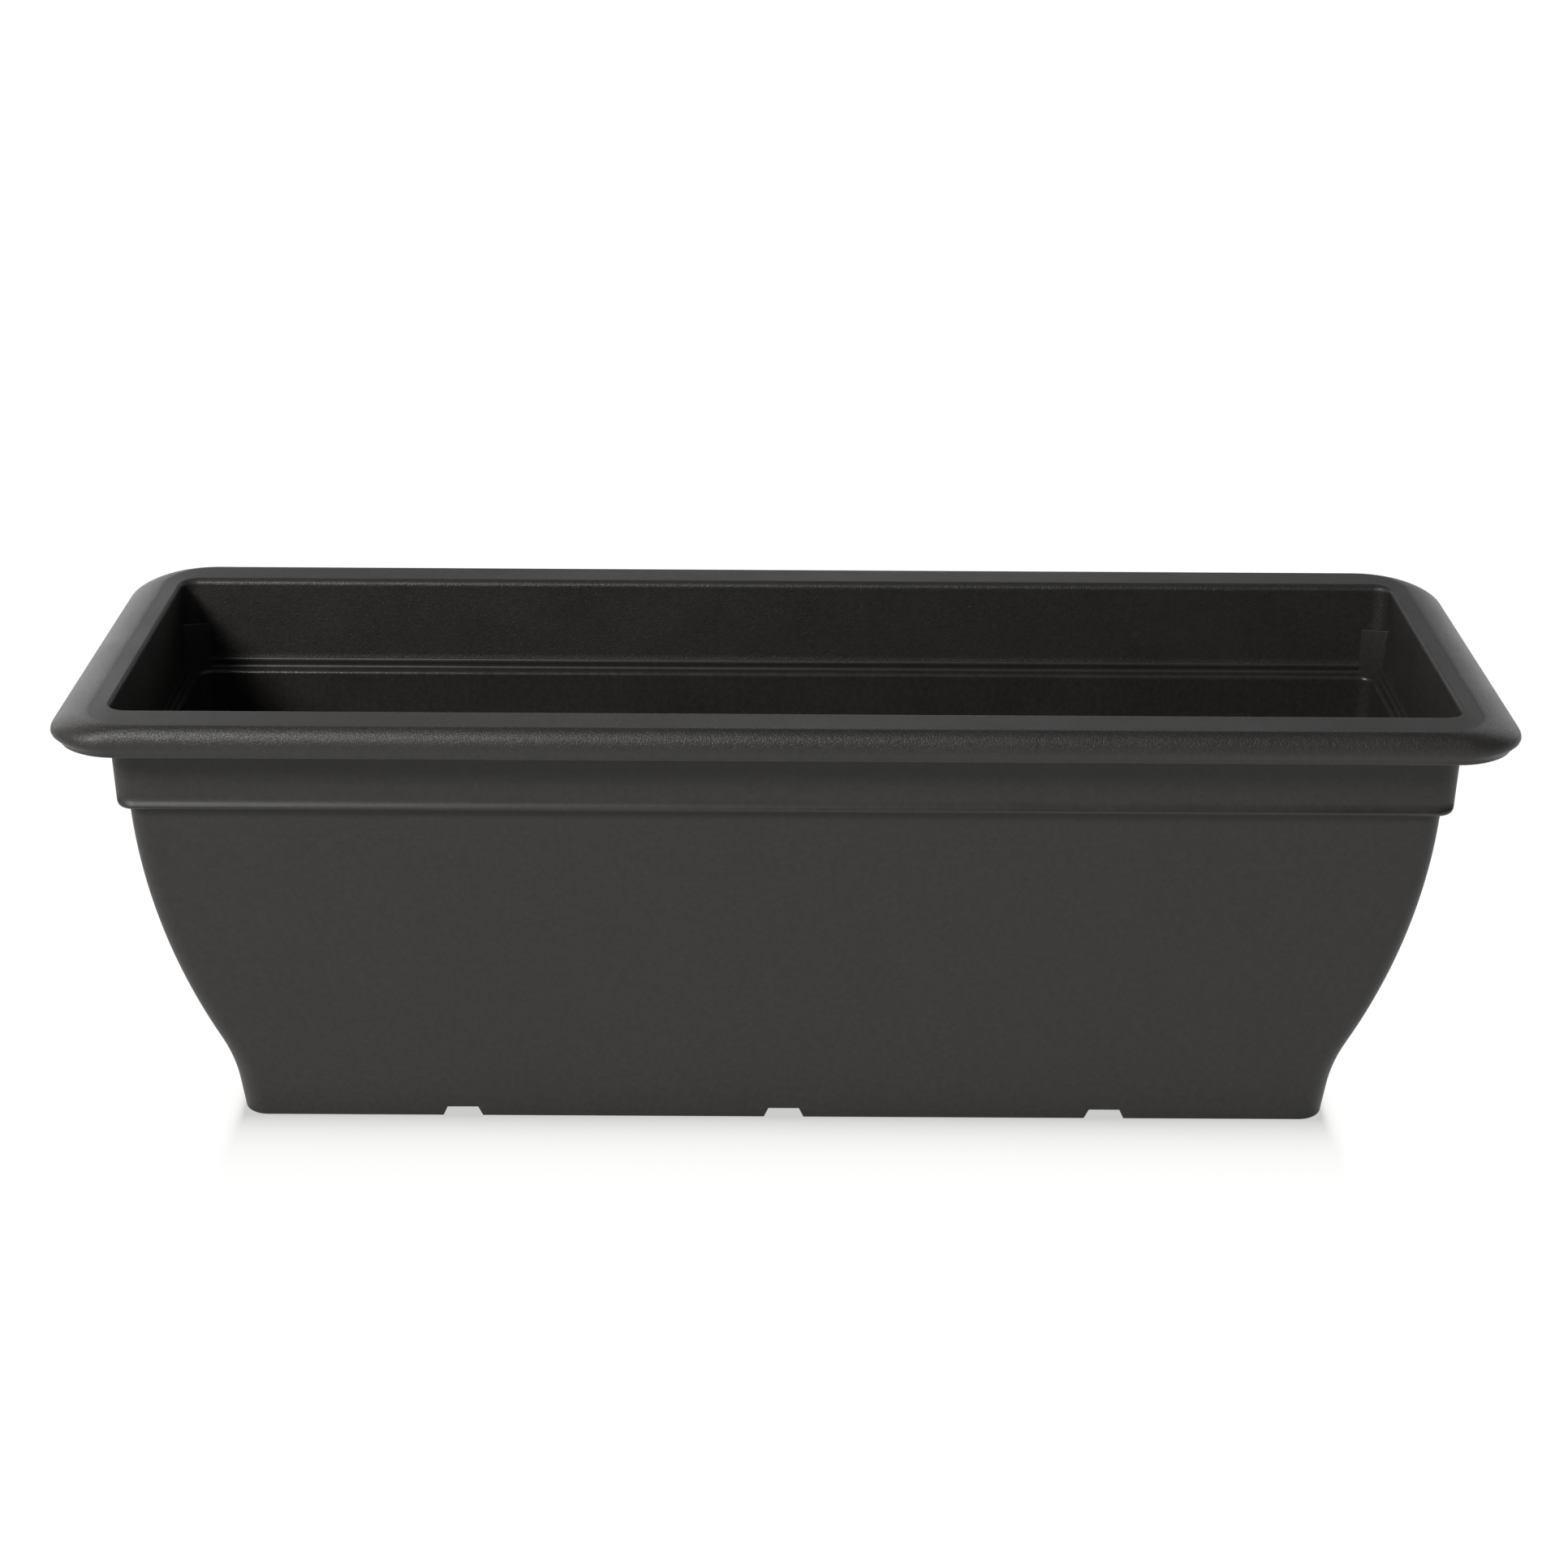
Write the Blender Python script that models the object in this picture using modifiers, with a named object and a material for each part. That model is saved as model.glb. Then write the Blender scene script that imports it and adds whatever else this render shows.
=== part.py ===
"""Self watering window-box planter: a moulded trough that holds a water reservoir under a lift-out floor.

Frame: metres, +Z up, +X along the trough, the user stands at -Y. The origin is the middle of the footprint,
on the surface that the trough stands on.
"""

from math import cos, pi, radians, sin

import bmesh
import bpy
import numpy as np
from mathutils import Matrix

# ---- Driving dimensions ------------------------------------------------------------------------

LENGTH = 0.6028
WIDTH = 0.200
HEIGHT = 0.201
WALL = 0.0023
FIT_GAP = 0.0003

# How far a cutter runs past the wall it cuts, and how far a joined-on piece stops short of a shared face.
TOOL_REACH = 0.004
SHY = 0.0001

# Rim: a flat band that rolls over into a lip, and reaches further out and rolls wider at the short ends.
BAND = 0.0227
END_REACH = 0.0014
END_ROLL = 0.0165
CREASE_ANGLE = radians(77)
INNER_EDGE_R = 0.003
ROLL_RUN = 0.010
ROLL_DROP = 0.008
LIP_DROP = 0.0130
LIP_TUCK = 0.0012
RIM_OUTER_CORNER = 0.027
RIM_INNER_CORNER = 0.007

# Collar: the straight band under the rim, ending in an inward step.
COLLAR_TOP_INSET = 0.0190
COLLAR_BOTTOM_INSET = 0.0202
COLLAR_INSIDE = 0.0238
COLLAR_BOTTOM_Z = 0.1560
COLLAR_CORNER = 0.0093
COLLAR_EDGE_R = 0.0022
STEP = 0.0055

# Body: straight tapering long sides, and ends that belly out and then flare into a foot.
BELLY_TOP_Z = 0.155
BELLY_R = 0.272
BELLY_SWEEP = radians(25.5)
FOOT_R = 0.070
FOOT_DRAFT = radians(5.7)
SIDE_TAPER = 0.0123
BODY_TOP_CORNER = 0.0078
BASE_CORNER = 0.0114

# Foot and floor.
FOOT_EDGE = 0.0005
FLOOR_UNDER_Z = 0.008
FLOOR_TOP_Z = 0.0105
SKIRT = 0.0032
FLOOR_FILLET = 0.005

# Three drain notches in each long side of the foot.
NOTCH_PITCH = 0.142
NOTCH_TOP = 0.0135
NOTCH_BOTTOM = 0.0175
NOTCH_HEIGHT = 0.0044

# Stacking webs across the collar's inner corners.
RIB_TOP_Z = 0.183
RIB_REACH = 0.0064
RIB_THICK = 0.0022
RIB_HALF = 0.0075

# Lift-out reservoir floor, in two halves that rest on the tapering walls.
PLATFORM_TOP_Z = 0.050
PLATFORM_PLATE = 0.0022
PLATFORM_SKIRT_Z = 0.040
PLATFORM_SKIN = 0.0020
PLATFORM_EDGE = 0.0008
PLATFORM_END_X = 0.2435
PLATFORM_CORNER = 0.008
PLATFORM_SPLIT = 0.0005
SLOT_COUNT = 15
SLOT_FIRST_X = 0.010
SLOT_PITCH = 0.016
SLOT_Y = 0.047
SLOT_LENGTH = 0.017
SLOT_WIDTH = 0.003
FLANGE = 0.0022

# Soil cups, which hang through the platform into the water.
CUP_X = (0.070, 0.160)
CUP_HOLE_R = 0.031
CUP_FLANGE_R = 0.0345
CUP_TOP_R = 0.0303
CUP_BOTTOM_R = 0.0258
CUP_BOTTOM_Z = 0.012
CUP_SKIN = 0.0018
CUP_FLANGE = 0.0020
CUP_SLOTS = 8
CUP_SLOT_WIDTH = 0.0036
CUP_SLOT_LOW_Z = 0.018
CUP_SLOT_HIGH_Z = 0.044

# Overflow pipe through the floor, with its washer and nut.
WATER_LINE_Z = 0.038
OVERFLOW_R = 0.008
OVERFLOW_BORE_R = 0.006
OVERFLOW_HOLE_R = 0.0084
OVERFLOW_FOOT_Z = 0.0022
OVERFLOW_FLANGE_R = 0.0140
SEAL_R = 0.0135
SEAL_THICK = 0.0016
NUT_R = 0.0130
NUT_THICK = 0.0045

# Drain bung in the back wall.
DRAIN_Z = 0.024
DRAIN_HOLE_R = 0.0078
DRAIN_BOSS_R = 0.0140
DRAIN_BOSS_FACE_Y = 0.0665
DRAIN_BOSS_INSIDE = 0.001
BUNG_HEAD_R = 0.0120
BUNG_HEAD = 0.0026
BUNG_SHANK = 0.0110
BUNG_TAPER = 0.92
BUNG_TAB_HALF = 0.0070
BUNG_TAB_REACH = 0.0105
BUNG_TAB_THICK = 0.0028

# Filler pipe with its hinged lid.
PIPE_X = 0.218
PIPE_Y = -0.042
PIPE_FOOT_Z = 0.015
PIPE_FLANGE_REACH = 0.0015
PIPE_HOLE_GAP = 0.0006
FILLER_FOOT_Z = 0.0200
FILLER_R = 0.015
FILLER_BORE_R = 0.013
FILLER_TOP_Z = 0.163
FILLER_LIP = 0.0012
FILLER_LIP_HEIGHT = 0.0040
HINGE_Y = 0.0192
HINGE_Z = FILLER_TOP_Z + 0.0022
HINGE_PIN_R = 0.0012
HINGE_BORE_R = HINGE_PIN_R + FIT_GAP
HINGE_BORE_HALF = 0.012
KNUCKLE_R = 0.0028
KNUCKLE_HALF = 0.0032
EAR_IN = 0.0036
EAR_OUT = 0.0066
EAR_ROOT_Y = 0.0140
EAR_HEIGHT = 0.0067
LID_R = 0.0164
LID_THICK = 0.0026
LID_EDGE = 0.0006
LID_PLUG_R = 0.0114
LID_PLUG_SKIN = 0.0016
STRAP_HALF = 0.0030
LID_TAB_HALF = 0.0045
LID_TAB_REACH = 0.0205

# Water gauge: a float on a rod lifts a flag into a clear cap.
GAUGE_R = 0.010
GAUGE_BORE_R = 0.0082
GAUGE_TOP_Z = 0.154
GAUGE_INLET_R = 0.0050
GAUGE_FOOT = 0.0015
WINDOW_R = 0.0118
WINDOW_TOP_Z = 0.176
WINDOW_OVERLAP = 0.012
WINDOW_SHOULDER = 0.0033
WINDOW_SKIN = 0.0016
WINDOW_HOLLOW = 0.0023
FLOAT_R = 0.0074
FLOAT_HEIGHT = 0.020
FLOAT_EDGE = 0.0010
FLOAT_SOCKET = 0.010
FLOAT_LOW_Z = PIPE_FOOT_Z + 0.0018
FLOAT_TOP_Z = FLOAT_LOW_Z + FLOAT_HEIGHT
ROD_R = 0.0015
ROD_TOP_Z = 0.142
FLAG_R = 0.0060
FLAG_EDGE = 0.0010
FLAG_CAP = 0.0045
FLAG_HEIGHT = 0.0090

ROUND = 32
CORNER_STEPS = 6


# ---- Scene and materials -----------------------------------------------------------------------


def clear_scene():
    """Removes every object, and the data that only they used."""
    for obj in list(bpy.data.objects):
        bpy.data.objects.remove(obj, do_unlink=True)
    bpy.data.orphans_purge(do_recursive=True)


def new_collection(name):
    made = bpy.data.collections.new(name)
    bpy.context.scene.collection.children.link(made)
    return made


def plastic(name, colour, roughness, alpha=1.0):
    """A Principled material of one colour."""
    material = bpy.data.materials.new(name)
    material.use_nodes = True
    shader = material.node_tree.nodes["Principled BSDF"]
    shader.inputs["Base Color"].default_value = (*colour, 1.0)
    shader.inputs["Roughness"].default_value = roughness
    shader.inputs["Metallic"].default_value = 0.0
    shader.inputs["Alpha"].default_value = alpha
    return material


def add_object(name, mesh, collection, material=None):
    obj = bpy.data.objects.new(name, mesh)
    collection.objects.link(obj)
    if material:
        mesh.materials.append(material)
    return obj


# ---- Shape helpers -----------------------------------------------------------------------------


def rounded_outline(half_x, half_y, corner, z, centre=(0.0, 0.0)):
    """Points of a rounded rectangle at height z, anticlockwise seen from above."""
    points = []
    for turn, (side_x, side_y) in enumerate(((1, 1), (-1, 1), (-1, -1), (1, -1))):
        for step in range(CORNER_STEPS + 1):
            angle = (turn + step / CORNER_STEPS) * pi / 2
            x = centre[0] + side_x * (half_x - corner) + corner * cos(angle)
            y = centre[1] + side_y * (half_y - corner) + corner * sin(angle)
            points.append((x, y, z))
    return points


def loft(name, rings, collection, material):
    """A closed solid through rings of equal point count, from its underside cap to its upper cap."""
    count = len(rings[0])
    mesh = bpy.data.meshes.new(name)
    body = bmesh.new()
    rows = [[body.verts.new(point) for point in ring] for ring in rings]
    for lower, upper in zip(rows, rows[1:]):
        for i in range(count):
            j = (i + 1) % count
            body.faces.new((lower[i], lower[j], upper[j], upper[i]))
    body.faces.new(reversed(rows[0]))
    body.faces.new(rows[-1])
    body.to_mesh(mesh)
    body.free()
    mesh.shade_smooth()
    mesh.set_sharp_from_angle(angle=radians(35))
    return add_object(name, mesh, collection, material)


def turned(name, profile, collection, material, centre=(0.0, 0.0), closed=False, steps=ROUND):
    """A profile of (radius, z) points turned about a vertical axis through centre."""
    mesh = bpy.data.meshes.new(name)
    edges = [(i, i + 1) for i in range(len(profile) - 1)]
    if closed:
        edges.append((len(profile) - 1, 0))
    mesh.from_pydata([(radius, 0.0, z) for radius, z in profile], edges, [])
    obj = add_object(name, mesh, collection, material)
    obj.location = (*centre, 0.0)
    screw = obj.modifiers.new("Turn", "SCREW")
    screw.axis = "Z"
    screw.steps = steps
    screw.render_steps = steps
    screw.use_merge_vertices = True
    screw.merge_threshold = 0.00001
    screw.use_smooth_shade = True
    return obj


def solid_of(name, build, collection, material=None):
    """An object whose mesh is what build(bmesh) adds."""
    mesh = bpy.data.meshes.new(name)
    body = bmesh.new()
    build(body)
    body.to_mesh(mesh)
    body.free()
    return add_object(name, mesh, collection, material)


def add_box(body, low, high, turn=None):
    """A box between two corners, then turned about the origin by a matrix."""
    size = [b - a for a, b in zip(low, high)]
    middle = [(a + b) / 2 for a, b in zip(low, high)]
    place = Matrix.Translation(middle) @ Matrix.Diagonal((*size, 1.0))
    if turn:
        place = turn @ place
    bmesh.ops.create_cube(body, size=1.0, matrix=place)


def add_rod(body, radius, start, end, axis="Z", across=(0.0, 0.0), taper=1.0, segments=24):
    """A capped rod along an axis from start to end, at the two coordinates given by across."""
    place = {
        "X": Matrix.Translation(((start + end) / 2, *across)) @ Matrix.Rotation(pi / 2, 4, "Y"),
        "Y": Matrix.Translation((across[0], (start + end) / 2, across[1])) @ Matrix.Rotation(-pi / 2, 4, "X"),
        "Z": Matrix.Translation((*across, (start + end) / 2)),
    }[axis]
    bmesh.ops.create_cone(
        body,
        cap_ends=True,
        segments=segments,
        radius1=radius * taper,
        radius2=radius,
        depth=end - start,
        matrix=place,
    )


def combine(target, tool, operation):
    """Cuts tool from target, or joins it on."""
    boolean = target.modifiers.new(operation.title(), "BOOLEAN")
    boolean.operation = operation
    boolean.object = tool
    boolean.solver = "EXACT"


def make_cutter(name, build):
    cutter = solid_of(name, build, cutters)
    cutter.hide_render = True
    cutter.display_type = "WIRE"
    return cutter


# ---- Trough ------------------------------------------------------------------------------------


def side_half(z):
    """Half the outside width of the body at height z: the long sides are flat and taper to the base."""
    top = WIDTH / 2 - COLLAR_BOTTOM_INSET - STEP
    return top - SIDE_TAPER * (BELLY_TOP_Z - z) / BELLY_TOP_Z


def body_corner(z):
    return BODY_TOP_CORNER + (BASE_CORNER - BODY_TOP_CORNER) * (BELLY_TOP_Z - z) / BELLY_TOP_Z


def end_profile(inset):
    """(half length, z) down the body's end, moved inwards by inset: belly arc, foot arc, straight foot."""
    top = LENGTH / 2 - END_REACH - COLLAR_BOTTOM_INSET - STEP
    points = []
    for step in range(9):
        angle = BELLY_SWEEP * step / 8
        reach = top - BELLY_R + (BELLY_R - inset) * cos(angle)
        points.append((reach, BELLY_TOP_Z - (BELLY_R - inset) * sin(angle)))
    centre_x = top - BELLY_R + (BELLY_R + FOOT_R) * cos(BELLY_SWEEP)
    centre_z = BELLY_TOP_Z - (BELLY_R + FOOT_R) * sin(BELLY_SWEEP)
    for step in range(1, 6):
        angle = BELLY_SWEEP + (FOOT_DRAFT - BELLY_SWEEP) * step / 5
        radius = FOOT_R + inset
        points.append((centre_x - radius * cos(angle), centre_z + radius * sin(angle)))
    return points


def end_half(z, inset=0.0):
    """Half the body's length at height z on the straight foot below the arcs."""
    foot_x, foot_z = end_profile(inset)[-1]
    return foot_x - (foot_z - z) * np.tan(FOOT_DRAFT)


def body_ring(half_x, z, inset, corner_cut=0.0):
    corner = max(body_corner(z) - inset - corner_cut, 0.003)
    return rounded_outline(half_x, side_half(z) - inset - corner_cut, corner, z)


def rim_half_x(inset, skin=0.0):
    """Half the length of a rim outline that lies inset behind the long side's edge, skin of it being wall."""
    crease = ROLL_RUN * (1 - cos(CREASE_ANGLE))
    stations = (0.0, crease, BAND, 2 * BAND)
    reached = (0.0, END_ROLL, BAND + END_REACH, 2 * BAND + END_REACH)
    return LENGTH / 2 - skin - float(np.interp(inset - skin, stations, reached))


def outer_rings():
    """From the foot's bottom edge up the outside, over the rim and down to the collar's inner wall."""
    rings = [
        body_ring(end_half(0.0, SKIRT), 0.0, SKIRT),
        body_ring(end_half(0.0) - FOOT_EDGE, 0.0, FOOT_EDGE),
        body_ring(end_half(FOOT_EDGE), FOOT_EDGE, 0.0),
    ]
    for half_x, z in reversed(end_profile(0.0)):
        rings.append(body_ring(half_x, z, 0.0))

    def at(inset, z, corner, skin=0.0):
        rings.append(rounded_outline(rim_half_x(inset, skin), WIDTH / 2 - inset, corner, z))

    edge_r = COLLAR_EDGE_R
    at(COLLAR_BOTTOM_INSET + STEP, COLLAR_BOTTOM_Z, BODY_TOP_CORNER)
    for step in range(4):
        angle = pi / 2 * step / 3
        inset = COLLAR_BOTTOM_INSET + edge_r * (1 - sin(angle))
        at(inset, COLLAR_BOTTOM_Z + edge_r * (1 - cos(angle)), COLLAR_CORNER - edge_r * (1 - sin(angle)))
    at(COLLAR_TOP_INSET, HEIGHT - WALL - 0.002, COLLAR_CORNER + 0.0005)
    at(COLLAR_TOP_INSET - 0.002, HEIGHT - WALL, COLLAR_CORNER + 0.002, WALL)
    for step in range(5):
        angle = pi / 2 * step / 4
        inset = ROLL_RUN - (ROLL_RUN - WALL) * sin(angle)
        z = HEIGHT - WALL - (ROLL_DROP - WALL) * (1 - cos(angle))
        at(inset, z, RIM_OUTER_CORNER - WALL, WALL)
    lip_z = HEIGHT - LIP_DROP
    at(WALL + LIP_TUCK, lip_z, RIM_OUTER_CORNER - WALL - LIP_TUCK, WALL)
    at(LIP_TUCK, lip_z, RIM_OUTER_CORNER - LIP_TUCK)
    for step in range(8):
        angle = pi / 2 * step / 7
        inset = ROLL_RUN * (1 - cos(angle))
        at(inset, HEIGHT - ROLL_DROP * (1 - sin(angle)), RIM_OUTER_CORNER - inset)
    flat_end = BAND - INNER_EDGE_R
    for step in range(5):
        angle = pi / 2 * step / 4
        inset = flat_end + INNER_EDGE_R * sin(angle)
        at(inset, HEIGHT - INNER_EDGE_R * (1 - cos(angle)), RIM_INNER_CORNER + BAND - inset)
    return rings


def inner_rings():
    """Down the collar's inner wall, across the step, down inside the body and across the floor."""
    step_z = COLLAR_BOTTOM_Z + WALL
    collar_inset = COLLAR_INSIDE
    body_inset = COLLAR_BOTTOM_INSET + STEP + WALL
    rings = []
    path = (
        (collar_inset, step_z + 0.0014, RIM_INNER_CORNER),
        (collar_inset + 0.0004, step_z + 0.0004, RIM_INNER_CORNER - 0.0004),
        (collar_inset + 0.0014, step_z, RIM_INNER_CORNER - 0.0010),
        (body_inset - 0.0012, step_z - 0.0001, BODY_TOP_CORNER - WALL + 0.0012),
        (body_inset - 0.0004, step_z - 0.0005, BODY_TOP_CORNER - WALL + 0.0004),
        (body_inset, step_z - 0.0015, BODY_TOP_CORNER - WALL),
    )
    for inset, z, corner in path:
        rings.append(rounded_outline(rim_half_x(inset), WIDTH / 2 - inset, corner, z))
    fillet_z = FLOOR_TOP_Z + FLOOR_FILLET
    for x, z in end_profile(WALL):
        if z > fillet_z + 0.001:
            rings.append(body_ring(x, z, WALL))
    for step in range(5):
        angle = pi / 2 * step / 4
        z = fillet_z - FLOOR_FILLET * sin(angle)
        cut = FLOOR_FILLET * (1 - cos(angle))
        rings.append(body_ring(end_half(z, WALL) - cut, z, WALL, cut))
    return rings


def add_stacking_ribs(body):
    """Four upright webs across the collar's inner corners, which the next trough in a stack stands on."""
    half_x = rim_half_x(COLLAR_INSIDE)
    half_y = WIDTH / 2 - COLLAR_INSIDE
    for side_x in (1, -1):
        for side_y in (1, -1):
            corner = Matrix.Translation((side_x * half_x, side_y * half_y, 0.0))
            inward = Matrix.Rotation(np.arctan2(-side_y, -side_x), 4, "Z")
            low = (RIB_REACH - RIB_THICK, -RIB_HALF, COLLAR_BOTTOM_Z + WALL / 2)
            add_box(body, low, (RIB_REACH, RIB_HALF, RIB_TOP_Z), corner @ inward)


def add_notches(body):
    """Three shallow gaps through each long side of the foot, narrower at the top."""
    below = 0.001
    spread = (NOTCH_BOTTOM - NOTCH_TOP) / NOTCH_HEIGHT * below
    for k in (-1, 0, 1):
        for side in (-1, 1):
            middle = side * (side_half(0.0) - SKIRT / 2)
            made = bmesh.ops.create_cube(body, size=1.0)["verts"]
            for vert in made:
                top = vert.co.z > 0
                width = NOTCH_TOP if top else NOTCH_BOTTOM + spread
                vert.co.x = k * NOTCH_PITCH + width * vert.co.x
                vert.co.y = middle + 2 * TOOL_REACH * vert.co.y
                vert.co.z = NOTCH_HEIGHT if top else -below


def add_trough_holes(body):
    """The overflow hole in the floor, and the drain hole low in the back wall."""
    add_rod(body, OVERFLOW_HOLE_R, FLOOR_UNDER_Z - TOOL_REACH, FLOOR_TOP_Z + TOOL_REACH)
    drain_low = side_half(0.0) - 3 * TOOL_REACH
    add_rod(body, DRAIN_HOLE_R, drain_low, DRAIN_BOSS_FACE_Y + TOOL_REACH, "Y", (0.0, DRAIN_Z))


def add_drain_boss(body):
    """A round boss that gives the sloping back wall a flat upright seat for the bung."""
    inside_y = side_half(DRAIN_Z) - WALL - DRAIN_BOSS_INSIDE
    add_rod(body, DRAIN_BOSS_R, inside_y, DRAIN_BOSS_FACE_Y, "Y", (0.0, DRAIN_Z))


def make_trough(material):
    underside = [body_ring(end_half(FLOOR_UNDER_Z, SKIRT), FLOOR_UNDER_Z, SKIRT)]
    rings = underside + outer_rings() + inner_rings()
    trough = loft("trough_shell", rings, parts, material)
    combine(trough, make_cutter("rib_tool", add_stacking_ribs), "UNION")
    combine(trough, make_cutter("boss_tool", add_drain_boss), "UNION")
    combine(trough, make_cutter("notch_tool", add_notches), "DIFFERENCE")
    combine(trough, make_cutter("hole_tool", add_trough_holes), "DIFFERENCE")
    return trough


# ---- Overflow and drain ------------------------------------------------------------------------


def make_overflow(pipe_material, seal_material):
    """A stand pipe through the floor whose mouth sets the water line, its washer, and its nut underneath."""
    seal_low = FLOOR_TOP_Z + FIT_GAP
    seal_high = seal_low + SEAL_THICK
    flange_low = seal_high + FIT_GAP
    flange_high = flange_low + FLANGE
    pipe = (
        (OVERFLOW_BORE_R, WATER_LINE_Z),
        (OVERFLOW_R, WATER_LINE_Z),
        (OVERFLOW_R, flange_high),
        (OVERFLOW_FLANGE_R, flange_high),
        (OVERFLOW_FLANGE_R, flange_low),
        (OVERFLOW_R, flange_low),
        (OVERFLOW_R, OVERFLOW_FOOT_Z),
        (OVERFLOW_BORE_R, OVERFLOW_FOOT_Z),
    )
    turned("overflow_pipe", pipe, parts, pipe_material, closed=True)
    clear_r = OVERFLOW_R + FIT_GAP
    seal = ((clear_r, seal_high), (SEAL_R, seal_high), (SEAL_R, seal_low), (clear_r, seal_low))
    turned("overflow_seal", seal, parts, seal_material, closed=True)
    nut_high = FLOOR_UNDER_Z - FIT_GAP
    nut_low = nut_high - NUT_THICK

    def build_nut(body):
        add_rod(body, NUT_R, nut_low, nut_high, segments=6)

    def build_thread(body):
        add_rod(body, clear_r, nut_low - TOOL_REACH, nut_high + TOOL_REACH, segments=ROUND)

    nut = solid_of("overflow_nut", build_nut, parts, pipe_material)
    combine(nut, make_cutter("nut_bore_tool", build_thread), "DIFFERENCE")


def make_drain_bung(material):
    """A rubber stopper pushed into the back wall from outside, with a grip tab."""
    face = DRAIN_BOSS_FACE_Y + FIT_GAP
    shank_r = DRAIN_HOLE_R - FIT_GAP

    def build(body):
        add_rod(body, BUNG_HEAD_R, face, face + BUNG_HEAD, "Y", (0.0, DRAIN_Z))

    def build_shank(body):
        add_rod(body, shank_r, face - BUNG_SHANK, face + BUNG_HEAD / 2, "Y", (0.0, DRAIN_Z), taper=BUNG_TAPER)

    def build_tab(body):
        low = (-BUNG_TAB_HALF, face + BUNG_HEAD / 2, DRAIN_Z - BUNG_TAB_THICK / 2)
        add_box(body, low, (BUNG_TAB_HALF, face + BUNG_TAB_REACH, DRAIN_Z + BUNG_TAB_THICK / 2))

    bung = solid_of("drain_bung", build, parts, material)
    combine(bung, make_cutter("bung_shank_tool", build_shank), "UNION")
    combine(bung, make_cutter("bung_tab_tool", build_tab), "UNION")
    return bung


# ---- Lift-out reservoir floor ------------------------------------------------------------------


def make_platform(name, side, pipe_r, material):
    """One half of the perforated floor: side is -1 for the left half and 1 for the right."""
    half_x = (PLATFORM_END_X - PLATFORM_SPLIT) / 2
    half_y = side_half(PLATFORM_SKIRT_Z) - WALL - FIT_GAP
    centre = (side * (PLATFORM_SPLIT + half_x), 0.0)
    under_z = PLATFORM_TOP_Z - PLATFORM_PLATE

    def ring(cut, z):
        return rounded_outline(half_x - cut, half_y - cut, PLATFORM_CORNER - cut, z, centre)

    rings = [
        ring(PLATFORM_SKIN, under_z),
        ring(PLATFORM_SKIN, PLATFORM_SKIRT_Z),
        ring(0.0, PLATFORM_SKIRT_Z),
        ring(0.0, PLATFORM_TOP_Z - PLATFORM_EDGE),
        ring(PLATFORM_EDGE, PLATFORM_TOP_Z),
    ]
    platform = loft(name, rings, parts, material)
    low = under_z - TOOL_REACH
    high = PLATFORM_TOP_Z + TOOL_REACH

    def add_round_holes(body):
        for cup_x in CUP_X:
            add_rod(body, CUP_HOLE_R, low, high, "Z", (side * cup_x, 0.0), segments=ROUND)
        add_rod(body, pipe_r + PIPE_HOLE_GAP, low, high, "Z", (side * PIPE_X, PIPE_Y), segments=ROUND)

    def add_slots(body):
        for k in range(SLOT_COUNT):
            x = SLOT_FIRST_X + SLOT_PITCH * k
            for y in (-SLOT_Y, SLOT_Y):
                if y < 0 and abs(x - PIPE_X) < pipe_r + PIPE_FLANGE_REACH + SLOT_WIDTH:
                    continue
                corner = (side * x - SLOT_WIDTH / 2, y - SLOT_LENGTH / 2, low)
                add_box(body, corner, (side * x + SLOT_WIDTH / 2, y + SLOT_LENGTH / 2, high))

    combine(platform, make_cutter(name + "_hole_tool", add_round_holes), "DIFFERENCE")
    combine(platform, make_cutter(name + "_slot_tool", add_slots), "DIFFERENCE")
    return platform


def make_soil_cup(name, x, material):
    """A slotted cup that hangs through the platform into the water and lets the soil in it draw water up."""
    flange_low = PLATFORM_TOP_Z + FIT_GAP
    flange_high = flange_low + CUP_FLANGE
    profile = (
        (0.0, CUP_BOTTOM_Z + CUP_SKIN),
        (CUP_BOTTOM_R - CUP_SKIN, CUP_BOTTOM_Z + CUP_SKIN),
        (CUP_TOP_R - CUP_SKIN, flange_high),
        (CUP_FLANGE_R, flange_high),
        (CUP_FLANGE_R, flange_low),
        (CUP_TOP_R, flange_low),
        (CUP_BOTTOM_R, CUP_BOTTOM_Z),
        (0.0, CUP_BOTTOM_Z),
    )
    cup = turned(name, profile, parts, material, (x, 0.0), steps=24)

    def add_slots(body):
        low = (CUP_BOTTOM_R - TOOL_REACH, -CUP_SLOT_WIDTH / 2, CUP_SLOT_LOW_Z)
        high = (CUP_TOP_R + TOOL_REACH, CUP_SLOT_WIDTH / 2, CUP_SLOT_HIGH_Z)
        for k in range(CUP_SLOTS):
            turn = Matrix.Rotation((k + 0.5) * 2 * pi / CUP_SLOTS, 4, "Z")
            add_box(body, low, high, Matrix.Translation((x, 0.0, 0.0)) @ turn)

    combine(cup, make_cutter(name + "_slot_tool", add_slots), "DIFFERENCE")
    return cup


# ---- Filler pipe -------------------------------------------------------------------------------


def pipe_flange(radius):
    """Profile points of the flange that holds a pipe up on the platform, from its top down."""
    low = PLATFORM_TOP_Z + FIT_GAP
    return (
        (radius, low + FLANGE),
        (radius + PIPE_FLANGE_REACH, low + FLANGE),
        (radius + PIPE_FLANGE_REACH, low),
        (radius, low),
    )


def add_hinge_bore(body):
    add_rod(
        body,
        HINGE_BORE_R,
        -PIPE_X - HINGE_BORE_HALF,
        -PIPE_X + HINGE_BORE_HALF,
        "X",
        (PIPE_Y + HINGE_Y, HINGE_Z),
        segments=16,
    )


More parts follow.
